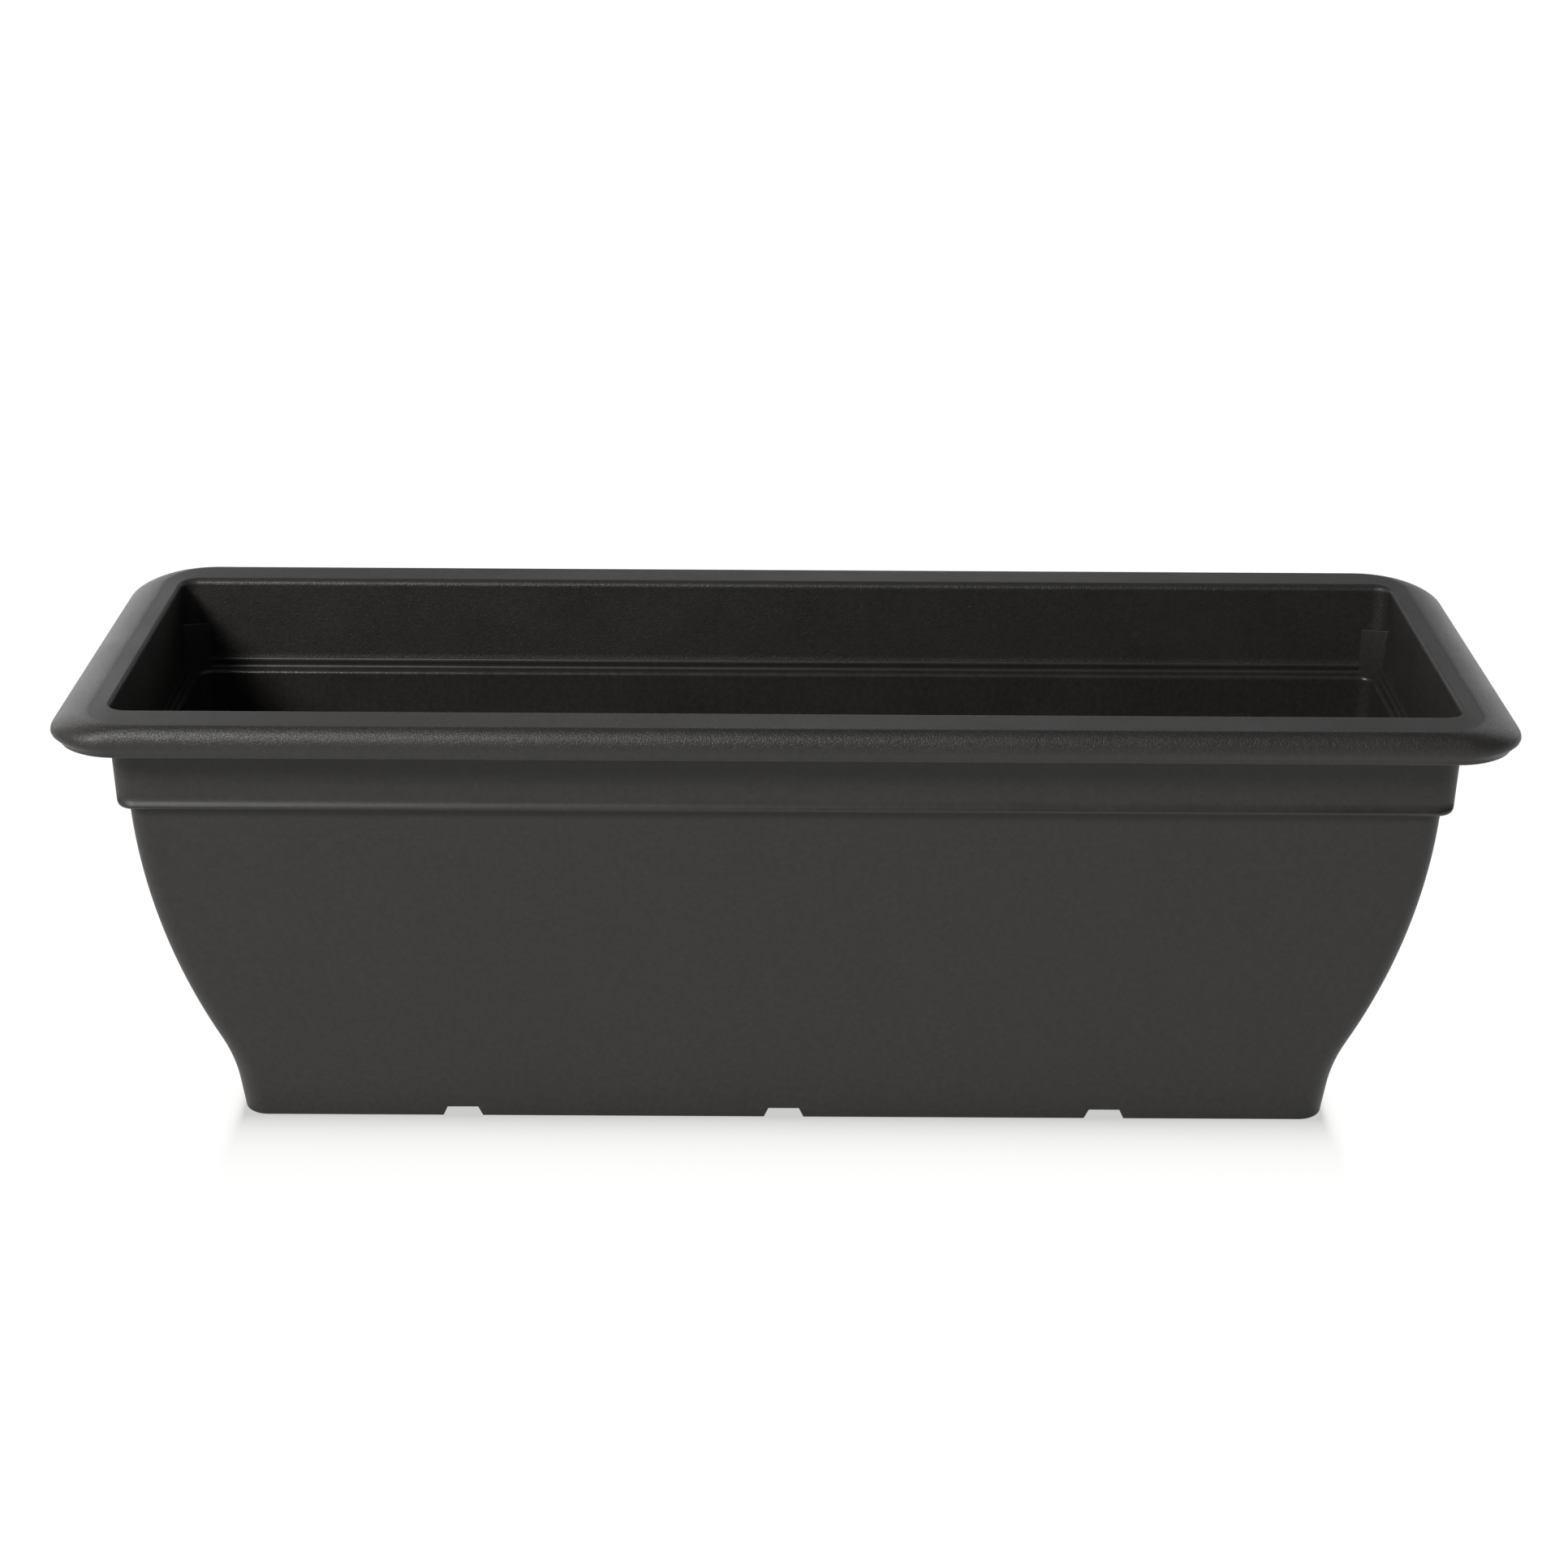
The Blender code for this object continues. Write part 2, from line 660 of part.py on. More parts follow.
def make_filler_pipe(material):
    """The pipe that water is poured into, with a flange on the platform and two hinge ears."""
    lip_r = FILLER_R + FILLER_LIP
    lip_low = FILLER_TOP_Z - FILLER_LIP_HEIGHT
    profile = (
        (FILLER_BORE_R, FILLER_TOP_Z),
        (lip_r, FILLER_TOP_Z),
        (lip_r, lip_low),
        (FILLER_R, lip_low - FILLER_LIP),
        *pipe_flange(FILLER_R),
        (FILLER_R, FILLER_FOOT_Z),
        (FILLER_BORE_R, FILLER_FOOT_Z),
    )
    pipe = turned("filler_pipe", profile, parts, material, (-PIPE_X, PIPE_Y), closed=True)

    def ear_span(side):
        return sorted((-PIPE_X + side * EAR_IN, -PIPE_X + side * EAR_OUT))

    def add_ear(side):
        def build(body):
            near, far = ear_span(side)
            top = FILLER_TOP_Z - FIT_GAP
            low = (near, PIPE_Y + EAR_ROOT_Y, top - EAR_HEIGHT)
            add_box(body, low, (far, PIPE_Y + HINGE_Y + KNUCKLE_R, top))

        return build

    def add_eye(side):
        def build(body):
            near, far = ear_span(side)
            add_rod(body, KNUCKLE_R, near, far, "X", (PIPE_Y + HINGE_Y, HINGE_Z), segments=20)

        return build

    for side, word in ((-1, "left"), (1, "right")):
        combine(pipe, make_cutter(f"filler_ear_{word}_tool", add_ear(side)), "UNION")
        combine(pipe, make_cutter(f"filler_eye_{word}_tool", add_eye(side)), "UNION")
    combine(pipe, make_cutter("filler_bore_tool", add_hinge_bore), "DIFFERENCE")
    return pipe


def make_filler_lid(material):
    """The lid that snaps over the pipe, with its knuckle between the ears and a tab to lift it by."""
    low = FILLER_TOP_Z + FIT_GAP
    high = low + LID_THICK
    profile = (
        (0.0, high),
        (LID_R - LID_EDGE, high),
        (LID_R, high - LID_EDGE),
        (LID_R, low),
        (LID_PLUG_R, low),
        (LID_PLUG_R, low - LID_THICK),
        (LID_PLUG_R - LID_PLUG_SKIN, low - LID_THICK),
        (LID_PLUG_R - LID_PLUG_SKIN, low),
        (0.0, low),
    )
    lid = turned("filler_lid", profile, parts, material, (-PIPE_X, PIPE_Y))

    def add_knuckle(body):
        across = (PIPE_Y + HINGE_Y, HINGE_Z)
        add_rod(body, KNUCKLE_R, -PIPE_X - KNUCKLE_HALF, -PIPE_X + KNUCKLE_HALF, "X", across, segments=20)

    def add_strap(body):
        corner = (-PIPE_X - STRAP_HALF, PIPE_Y + LID_PLUG_R + LID_PLUG_SKIN, low + SHY)
        add_box(body, corner, (-PIPE_X + STRAP_HALF, PIPE_Y + HINGE_Y, high - SHY))

    def add_tab(body):
        corner = (-PIPE_X - LID_TAB_HALF, PIPE_Y - LID_TAB_REACH, low + FIT_GAP)
        add_box(body, corner, (-PIPE_X + LID_TAB_HALF, PIPE_Y - LID_PLUG_R, high - FIT_GAP))

    combine(lid, make_cutter("lid_knuckle_tool", add_knuckle), "UNION")
    combine(lid, make_cutter("lid_strap_tool", add_strap), "UNION")
    combine(lid, make_cutter("lid_tab_tool", add_tab), "UNION")
    combine(lid, make_cutter("lid_bore_tool", add_hinge_bore), "DIFFERENCE")
    return lid


def make_hinge_pin(material):
    def build(body):
        across = (PIPE_Y + HINGE_Y, HINGE_Z)
        add_rod(body, HINGE_PIN_R, -PIPE_X - EAR_OUT, -PIPE_X + EAR_OUT, "X", across, segments=16)

    return solid_of("filler_hinge_pin", build, parts, material)


# ---- Water gauge -------------------------------------------------------------------------------


def make_gauge_pipe(pipe_material, window_material):
    """The gauge's stand pipe, with an inlet for the water in its foot, and the clear cap over its top."""
    centre = (PIPE_X, PIPE_Y)
    pipe = (
        (GAUGE_BORE_R, GAUGE_TOP_Z),
        (GAUGE_R, GAUGE_TOP_Z),
        *pipe_flange(GAUGE_R),
        (GAUGE_R, PIPE_FOOT_Z),
        (GAUGE_INLET_R, PIPE_FOOT_Z),
        (GAUGE_INLET_R, PIPE_FOOT_Z + GAUGE_FOOT),
        (GAUGE_BORE_R, PIPE_FOOT_Z + GAUGE_FOOT),
    )
    turned("gauge_pipe", pipe, parts, pipe_material, centre, closed=True, steps=24)
    window_in = GAUGE_R + FIT_GAP
    window_low = GAUGE_TOP_Z - WINDOW_OVERLAP
    window = (
        (0.0, WINDOW_TOP_Z),
        (WINDOW_R - WINDOW_SHOULDER, WINDOW_TOP_Z),
        (WINDOW_R, WINDOW_TOP_Z - WINDOW_SHOULDER),
        (WINDOW_R, window_low),
        (window_in, window_low),
        (window_in, WINDOW_TOP_Z - WINDOW_SKIN - WINDOW_HOLLOW),
        (window_in - WINDOW_HOLLOW, WINDOW_TOP_Z - WINDOW_SKIN),
        (0.0, WINDOW_TOP_Z - WINDOW_SKIN),
    )
    turned("gauge_window", window, parts, window_material, centre, steps=24)


def make_float(float_material, rod_material, flag_material):
    """The foam float, the rod pressed into it, and the bright flag on the rod."""
    centre = (PIPE_X, PIPE_Y)
    socket_r = ROD_R + FIT_GAP
    bobber = (
        (0.0, FLOAT_TOP_Z - FLOAT_SOCKET),
        (socket_r, FLOAT_TOP_Z - FLOAT_SOCKET),
        (socket_r, FLOAT_TOP_Z),
        (FLOAT_R - FLOAT_EDGE, FLOAT_TOP_Z),
        (FLOAT_R, FLOAT_TOP_Z - FLOAT_EDGE),
        (FLOAT_R, FLOAT_LOW_Z + FLOAT_EDGE),
        (FLOAT_R - FLOAT_EDGE, FLOAT_LOW_Z),
        (0.0, FLOAT_LOW_Z),
    )
    turned("gauge_float", bobber, parts, float_material, centre, steps=24)
    rod_low = FLOAT_TOP_Z - FLOAT_SOCKET + FIT_GAP
    rod = ((0.0, ROD_TOP_Z), (ROD_R, ROD_TOP_Z), (ROD_R, rod_low), (0.0, rod_low))
    turned("gauge_rod", rod, parts, rod_material, centre, steps=12)
    flag_top = ROD_TOP_Z + FLAG_CAP
    flag = (
        (0.0, flag_top),
        (FLAG_R - FLAG_EDGE, flag_top),
        (FLAG_R, flag_top - FLAG_EDGE),
        (FLAG_R, flag_top - FLAG_HEIGHT),
        (socket_r, flag_top - FLAG_HEIGHT),
        (socket_r, ROD_TOP_Z + FIT_GAP),
        (0.0, ROD_TOP_Z + FIT_GAP),
    )
    turned("gauge_flag", flag, parts, flag_material, centre, steps=24)


# ---- Assembly ----------------------------------------------------------------------------------


def hold_at(name, location, children):
    """An empty on a joint's axis or lift line, with the pieces that move about it as its children."""
    handle = bpy.data.objects.new(name, None)
    handle.empty_display_size = 0.02
    handle.location = location
    parts.objects.link(handle)
    bpy.context.view_layer.update()
    for child in children:
        child.parent = handle
        child.matrix_parent_inverse = handle.matrix_world.inverted()
    return handle


def make_planter():
    anthracite = plastic("anthracite_plastic", (0.038, 0.035, 0.033), 0.5)
    insert = plastic("insert_plastic", (0.030, 0.030, 0.031), 0.55)
    cup = plastic("cup_plastic", (0.045, 0.046, 0.048), 0.6)
    fitting = plastic("fitting_plastic", (0.025, 0.025, 0.026), 0.45)
    rubber = plastic("seal_rubber", (0.018, 0.018, 0.018), 0.8)
    clear = plastic("clear_plastic", (0.85, 0.88, 0.88), 0.08, 0.35)
    foam = plastic("float_foam", (0.80, 0.80, 0.77), 0.7)
    white = plastic("rod_plastic", (0.75, 0.75, 0.73), 0.4)
    red = plastic("flag_plastic", (0.65, 0.05, 0.03), 0.4)

    make_trough(anthracite)
    make_overflow(fitting, rubber)
    bung = make_drain_bung(rubber)
    left = make_platform("platform_left", -1, FILLER_R, insert)
    right = make_platform("platform_right", 1, GAUGE_R, insert)
    cups = []
    for number, x in enumerate((-CUP_X[1], -CUP_X[0], CUP_X[0], CUP_X[1]), 1):
        cups.append(make_soil_cup(f"soil_cup_{number}", x, cup))
    make_filler_pipe(fitting)
    make_filler_lid(fitting)
    make_hinge_pin(white)
    make_gauge_pipe(fitting, clear)
    make_float(foam, white, red)

    def named(*names):
        return [bpy.data.objects[name] for name in names]

    lid_z = (-PIPE_X, PIPE_Y + HINGE_Y, HINGE_Z)
    lid = hold_at("lid_axis", lid_z, named("filler_lid"))
    filler = hold_at("filler_axis", (-PIPE_X, PIPE_Y, 0.0), named("filler_pipe", "filler_hinge_pin") + [lid])
    bobber = hold_at("float_axis", (PIPE_X, PIPE_Y, 0.0), named("gauge_float", "gauge_rod", "gauge_flag"))
    gauge = hold_at("gauge_axis", (PIPE_X, PIPE_Y, 0.0), named("gauge_pipe", "gauge_window") + [bobber])
    hold_at("left_lift_axis", (-CUP_X[0], 0.0, 0.0), [left, filler] + cups[:2])
    hold_at("right_lift_axis", (CUP_X[0], 0.0, 0.0), [right, gauge] + cups[2:])
    hold_at("drain_axis", (0.0, DRAIN_BOSS_FACE_Y, DRAIN_Z), [bung])


clear_scene()
parts = new_collection("self_watering_planter")
cutters = new_collection("cutters")
make_planter()
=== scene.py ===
"""Looks of the self watering planter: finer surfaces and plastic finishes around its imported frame.

Frame: metres, +Z up, +X along the trough, the user stands at -Y. The origin is the middle of the footprint,
on the surface that the trough stands on.
"""

from math import cos, pi, radians, sin, tan

import bpy
import numpy as np
from bpy.props import FloatProperty, FloatVectorProperty, PointerProperty
from bpy.types import Operator, Panel, PropertyGroup
from mathutils import Matrix, Vector


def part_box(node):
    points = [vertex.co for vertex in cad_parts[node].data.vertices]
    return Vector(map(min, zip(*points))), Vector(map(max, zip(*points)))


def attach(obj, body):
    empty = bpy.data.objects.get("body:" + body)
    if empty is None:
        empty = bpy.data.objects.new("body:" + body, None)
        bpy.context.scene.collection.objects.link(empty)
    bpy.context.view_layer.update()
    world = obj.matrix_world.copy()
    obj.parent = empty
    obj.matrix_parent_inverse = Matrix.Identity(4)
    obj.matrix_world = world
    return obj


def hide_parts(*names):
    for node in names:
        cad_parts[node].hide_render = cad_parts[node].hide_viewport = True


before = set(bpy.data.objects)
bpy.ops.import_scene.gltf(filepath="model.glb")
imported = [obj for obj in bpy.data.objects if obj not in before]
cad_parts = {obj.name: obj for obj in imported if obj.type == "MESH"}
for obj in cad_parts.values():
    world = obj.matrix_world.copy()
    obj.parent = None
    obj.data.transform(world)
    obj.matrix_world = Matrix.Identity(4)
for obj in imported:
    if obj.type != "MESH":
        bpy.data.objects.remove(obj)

bl_info = {
    "name": "Self watering planter",
    "version": (1, 0, 0),
    "blender": (4, 5, 0),
    "location": "View3D > Sidebar > Planter",
    "description": "Builds the finished surfaces and materials of a self watering planter",
    "category": "Object",
}

TROUGH_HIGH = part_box("trough_shell")[1]


# ---- Sizes and colours that a user may change --------------------------------------------------


def length(name, default, description):
    return FloatProperty(name=name, description=description, default=default, min=0.0, unit="LENGTH", precision=5)


def colour(name, default, description):
    return FloatVectorProperty(
        name=name, description=description, default=default, min=0.0, max=1.0, size=3, subtype="COLOR"
    )


class PlanterSizes(PropertyGroup):
    """Sizes of the trough's moulded surfaces."""

    wall: length("Wall", 0.0023, "Thickness of the moulded wall")
    band: length("Rim band", 0.0227, "Width of the rim from its outer side to the opening")
    roll_run: length("Roll run", 0.0070, "How far the rim's outer roll reaches inwards")
    roll_drop: length("Roll drop", 0.008, "How far the roll falls before it turns upright")
    end_reach: length("End reach", 0.0014, "How much further the rim reaches out at the ends than along the sides")
    end_roll: length("End roll", 0.0165, "How far the roll reaches inwards at the ends")
    lip_drop: length("Lip drop", 0.0130, "From the top of the rim to the lip's lower edge")
    lip_tuck: length("Lip tuck", 0.0012, "How far the lip leans in towards its lower edge")
    inner_edge: length("Inner edge radius", 0.003, "Rounding between the rim and the opening's wall")
    outer_corner: length("Outer corner radius", 0.027, "Rim corner radius outside")
    inner_corner: length("Inner corner radius", 0.007, "Corner radius of the opening")
    collar_top: length("Collar top inset", 0.0190, "Collar's outside, in from the rim's outside, at its top")
    collar_bottom: length("Collar bottom inset", 0.0202, "The same at the collar's lower edge")
    collar_inside: length("Collar inside inset", 0.0238, "Collar's inside, in from the rim's outside, at the step")
    collar_z: length("Collar height", 0.1560, "Height of the collar's lower edge")
    collar_corner: length("Collar corner radius", 0.0093, "Corner radius of the collar outside")
    step: length("Step", 0.0055, "How far the body stands in from the collar")
    belly_z: length("Belly top", 0.155, "Height at which the ends start to curve in")
    belly_radius: length("Belly radius", 0.272, "Radius of the bellied ends")
    foot_radius: length("Foot radius", 0.070, "Radius of the hollow above the foot")
    side_taper: length("Side taper", 0.0123, "How far each long side leans in at the base")
    body_corner: length("Body corner radius", 0.0078, "Corner radius at the top of the body")
    base_corner: length("Base corner radius", 0.0114, "Corner radius at the base")
    skirt: length("Skirt", 0.0032, "Thickness of the foot's edge")
    floor_under: length("Underside", 0.008, "Height of the floor's underside")
    floor_top: length("Floor", 0.0105, "Height of the floor's upper side")
    notch_pitch: length("Notch pitch", 0.142, "Distance between the drain notches")
    notch_top: length("Notch top", 0.0135, "Width of a notch at its top")
    notch_bottom: length("Notch bottom", 0.0175, "Width of a notch at the ground")
    notch_height: length("Notch height", 0.0044, "Height of a notch")
    web_top: length("Web top", 0.183, "Height of the stacking webs")


class FittingSizes(PropertyGroup):
    """Sizes of the watering parts inside the trough."""

    gap: length("Fit gap", 0.0003, "Space between two parts that touch")
    platform_top: length("Platform top", 0.050, "Height of the platform's upper side")
    platform_edge: length("Platform edge", 0.0004, "Rounding of the platform's edges")
    flange: length("Flange", 0.0022, "Thickness of the pipes' flanges")
    flange_reach: length("Flange reach", 0.0015, "How far a pipe's flange stands out")
    cup_spacing: length("Cup position", 0.070, "Distance of the inner cups from the middle")
    cup_pitch: length("Cup pitch", 0.090, "Distance from one cup to the next on one platform")
    cup_top: length("Cup top radius", 0.0303, "Radius under the cup's flange")
    cup_bottom: length("Cup bottom radius", 0.0258, "Radius at the cup's bottom")
    cup_rim: length("Cup flange radius", 0.0345, "Radius of the cup's flange")
    cup_skin: length("Cup wall", 0.0018, "Thickness of a cup's wall")
    cup_floor: length("Cup bottom", 0.012, "Height of a cup's underside")
    cup_slot: length("Cup slot", 0.0036, "Width of a slot in a cup")
    water_line: length("Water line", 0.038, "Height of the overflow's mouth")
    overflow: length("Overflow radius", 0.008, "Outside radius of the overflow pipe")
    overflow_bore: length("Overflow bore", 0.006, "Inside radius of the overflow pipe")
    overflow_flange: length("Overflow flange", 0.014, "Radius of the overflow's flange")
    seal_thick: length("Seal thickness", 0.0016, "Thickness of the washer")
    nut: length("Nut radius", 0.013, "Radius of the nut over its corners")
    nut_thick: length("Nut thickness", 0.0045, "Thickness of the nut")
    drain_z: length("Drain height", 0.024, "Height of the drain hole")
    drain_hole: length("Drain hole", 0.0078, "Radius of the drain hole")
    drain_boss: length("Drain boss", 0.014, "Radius of the boss round the drain hole")
    drain_face: length("Drain boss face", 0.0665, "Distance of the boss's face from the middle")
    bung_head: length("Bung head", 0.012, "Radius of the bung's head")
    pipe_x: length("Pipe position", 0.218, "Distance of the filler and the gauge from the middle")
    pipe_y: length("Pipe offset", 0.042, "How far in front of the middle the pipes stand")
    pipe_foot: length("Gauge foot", 0.015, "Height of the gauge's lower end")
    filler_foot: length("Filler foot", 0.020, "Height of the filler pipe's lower end")
    filler: length("Filler radius", 0.015, "Outside radius of the filler pipe")
    filler_bore: length("Filler bore", 0.013, "Inside radius of the filler pipe")
    filler_top: length("Filler top", 0.163, "Height of the filler's mouth")
    hinge_back: length("Hinge offset", 0.0192, "Distance of the lid's hinge from the pipe's axis")
    hinge_lift: length("Hinge lift", 0.0022, "Height of the hinge over the pipe's mouth")
    lid: length("Lid radius", 0.0164, "Radius of the lid")
    lid_thick: length("Lid thickness", 0.0026, "Thickness of the lid")
    gauge: length("Gauge radius", 0.010, "Outside radius of the gauge's pipe")
    gauge_bore: length("Gauge bore", 0.0082, "Inside radius of the gauge's pipe")
    gauge_top: length("Gauge top", 0.154, "Height of the gauge's pipe")
    window: length("Window radius", 0.0118, "Radius of the clear cap")
    window_top: length("Window top", 0.176, "Height of the clear cap")
    float_radius: length("Float radius", 0.0074, "Radius of the float")
    float_height: length("Float height", 0.020, "Height of the float")
    rod: length("Rod radius", 0.0015, "Radius of the float's rod")
    rod_top: length("Rod top", 0.142, "Height of the rod's upper end")
    flag: length("Flag radius", 0.006, "Radius of the flag")


class PlanterColours(PropertyGroup):
    """Base colours of the plastics, linear."""

    anthracite: colour("Trough", (0.0150, 0.0138, 0.0130), "Anthracite of the trough")
    insert: colour("Platform", (0.024, 0.024, 0.025), "Black of the lift-out platform")
    cup: colour("Cups", (0.042, 0.043, 0.045), "Grey of the soil cups")
    fitting: colour("Fittings", (0.020, 0.020, 0.021), "Black of the pipes and the nut")
    rubber: colour("Rubber", (0.014, 0.014, 0.014), "Black of the bung and the washer")
    foam: colour("Float", (0.72, 0.72, 0.68), "White of the foam float")
    white: colour("White parts", (0.70, 0.70, 0.67), "White of the rod and the lid")
    flag: colour("Flag", (0.60, 0.035, 0.020), "Red of the gauge's flag")
    clear: colour("Window", (0.90, 0.94, 0.94), "Tint of the gauge's clear cap")


# ---- Meshes from grids of points ---------------------------------------------------------------


def grid_faces(index, wrap_rows):
    """Quads between neighbouring rows and columns of an array of vertex numbers, whose columns close round; a
    side that a pole shortens to nothing leaves a triangle."""
    if wrap_rows:
        index = np.vstack([index, index[:1]])
    index = np.hstack([index, index[:, :1]])
    low_row, high_row = index[:-1], index[1:]
    quads = np.stack([low_row[:, :-1], low_row[:, 1:], high_row[:, 1:], high_row[:, :-1]], axis=-1).reshape(-1, 4)
    pole_low = quads[:, 0] == quads[:, 1]
    pole_high = quads[:, 2] == quads[:, 3]
    whole = quads[~pole_low & ~pole_high]
    return whole.tolist() + quads[pole_low][:, [0, 2, 3]].tolist() + quads[pole_high][:, [0, 1, 2]].tolist()


def grid_shell(points, wrap_rows=False):
    """(vertices, faces) of a grid of points, rows by columns. A row that is a single point is a pole and
    gets one vertex."""
    rows, columns, _ = points.shape
    index = np.arange(rows * columns).reshape(rows, columns)
    spread = np.abs(points - points[:, :1]).max(axis=(1, 2))
    index = np.where((spread < 1e-9)[:, None], index[:, :1], index)
    return points.reshape(-1, 3), grid_faces(index, wrap_rows)


def make_piece(name, shells, material, body, stands_for=(), sharp=None):
    """One object from a list of (vertices, faces) shells, riding on a body and standing for CAD nodes."""
    vertices = []
    faces = []
    for points, shell_faces in shells:
        start = sum(len(v) for v in vertices)
        vertices.append(points)
        faces += [[i + start for i in face] for face in shell_faces]
    points = np.concatenate(vertices)
    used = np.zeros(len(points), bool)
    used[np.concatenate([np.array(face) for face in faces])] = True
    renumber = np.cumsum(used) - 1
    mesh = bpy.data.meshes.new(name)
    mesh.from_pydata(points[used], [], [[int(renumber[i]) for i in face] for face in faces])
    mesh.validate()
    mesh.shade_smooth()
    if sharp:
        mesh.set_sharp_from_angle(angle=sharp)
    mesh.materials.append(material)
    piece = bpy.data.objects.new(name, mesh)
    bpy.context.scene.collection.objects.link(piece)
    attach(piece, body)
    if stands_for:
        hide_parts(*stands_for)
    return piece, used


def border(columns, low, high, first, last):
    """Vertex numbers round a block of a grid: along the low row, up, back along the high row and down."""
    turn = 1 if high > low else -1
    sides = (
        low * columns + np.arange(first, last),
        np.arange(low, high, turn) * columns + last,
        high * columns + np.arange(last, first, -1),
        np.arange(high, low, -turn) * columns + first,
    )
    return np.concatenate(sides)


def cut_windows(faces, columns, windows):
    """Opens windows through a double wall. A window is outer low row, outer high row, inner low row, inner
    high row, first column, last column: its quads leave both walls and new quads join the two borders."""
    gone = set()
    joined = []
    for outer_low, outer_high, inner_low, inner_high, first, last in windows:
        rows = np.concatenate([np.arange(outer_low, outer_high), np.arange(inner_high, inner_low)])
        gone.update((rows[:, None] * columns + np.arange(first, last)).ravel().tolist())
        outer = border(columns, outer_low, outer_high, first, last)
        inner = border(columns, inner_low, inner_high, first, last)
        joined += np.stack([outer, np.roll(outer, -1), np.roll(inner, -1), inner], axis=1).tolist()
    return [face for face in faces if face[0] not in gone] + joined


def rounded_path(points, radii, closed=True, steps=5):
    """A polygon with rounded corners. From a to b, each a radius away from the corner, the curve is
    (1 - t)^2 a + 2 t (1 - t) corner + t^2 b. The two ends of an open path stay as they are."""
    points = np.asarray(points, float)
    before = np.roll(points, 1, axis=0) - points
    after = np.roll(points, -1, axis=0) - points
    before_long = np.linalg.norm(before, axis=1)
    after_long = np.linalg.norm(after, axis=1)
    reach = np.minimum(np.broadcast_to(radii, len(points)), 0.45 * np.minimum(before_long, after_long))
    a = points + before * (reach / before_long)[:, None]
    b = points + after * (reach / after_long)[:, None]
    t = np.linspace(0, 1, steps)[None, :, None]
    curve = (1 - t) ** 2 * a[:, None] + 2 * t * (1 - t) * points[:, None] + t**2 * b[:, None]
    path = curve.reshape(-1, 2)
    if closed:
        return path
    return np.concatenate([points[:1], path[steps:-steps], points[-1:]])


def round_shell(radius, along, centre=(0.0, 0.0, 0.0), axis="Z", closed=False, angle=None):
    """Rows of circles, or of any outline given as a radius per angle, about an axis through centre. Rows run
    up the outside and down the inside."""
    radius = np.asarray(radius, float)
    along = np.asarray(along, float)[:, None]
    if radius.ndim == 1:
        radius = radius[:, None]
    if angle is None:
        angle = np.linspace(0, 2 * pi, max(radius.shape[1], 64), endpoint=False)
    grid = np.broadcast_arrays(radius * np.cos(angle), radius * np.sin(angle), along)
    turn = {"Z": 0, "X": 1, "Y": 2}[axis]
    points = np.roll(np.stack(grid, axis=-1), turn, axis=-1) + np.asarray(centre)
    return grid_shell(points, wrap_rows=closed)


def turned(profile, centre=(0.0, 0.0, 0.0), axis="Z", closed=False):
    """A profile of (radius, position along the axis) turned about an axis."""
    radius, along = np.asarray(profile, float).T
    return round_shell(radius, along, centre, axis, closed)


def block_points(low, high, corner, edge, axis="Z"):
    """Grid of a block between two corners: rounded rectangles that shrink round a quarter circle towards
    both ends, each end closed by a point in its middle."""
    low = np.roll(np.asarray(low, float), -{"Z": 0, "X": 1, "Y": 2}[axis])
    high = np.roll(np.asarray(high, float), -{"Z": 0, "X": 1, "Y": 2}[axis])
    half_u, half_v = (high - low)[:2] / 2
    turn = np.linspace(0, pi / 2, 5)
    cut = edge * (1 - np.sin(turn))
    cut = np.concatenate([[edge], cut, cut[::-1], [edge]])[:, None]
    rise = edge * (1 - np.cos(turn))
    along = np.concatenate([[low[2]], low[2] + rise, high[2] - rise[::-1], [high[2]]])[:, None]
    size = np.ones_like(cut)
    size[[0, -1]] = 0.0
    angle = np.concatenate([quarter * pi / 2 + np.linspace(0, pi / 2, 7) for quarter in range(4)])
    side_u = np.repeat([1, -1, -1, 1], 7)
    side_v = np.repeat([1, 1, -1, -1], 7)
    bend = np.maximum(corner - cut, 0.00005)
    u = ((half_u - cut - bend) * side_u + bend * np.cos(angle)) * size
    v = ((half_v - cut - bend) * side_v + bend * np.sin(angle)) * size
    points = np.stack(np.broadcast_arrays(u + (low + high)[0] / 2, v + (low + high)[1] / 2, along), axis=-1)
    return np.roll(points, {"Z": 0, "X": 1, "Y": 2}[axis], axis=-1)


def block(low, high, corner, edge, axis="Z"):
    return grid_shell(block_points(low, high, corner, edge, axis))


def eye(radius, bore, low, high, edge, centre, columns=48):
    """A plate across the X axis with a round bore: its outline is a radius per angle about the bore."""
    angle = np.linspace(0, 2 * pi, columns, endpoint=False)
    outline = np.broadcast_to(radius(angle) if callable(radius) else radius, columns)
    turn = np.linspace(0, pi / 2, 4)
    cut = edge * (1 - np.sin(turn))[:, None]
    rise = edge * (1 - np.cos(turn))
    hole = np.full((1, columns), bore)
    rows = np.concatenate([outline - cut, outline - cut[::-1], hole, hole])
    along = np.concatenate([low + rise, high - rise[::-1], [high, low]])
    return round_shell(rows, along, centre, "X", closed=True, angle=angle)


# ---- Trough ------------------------------------------------------------------------------------

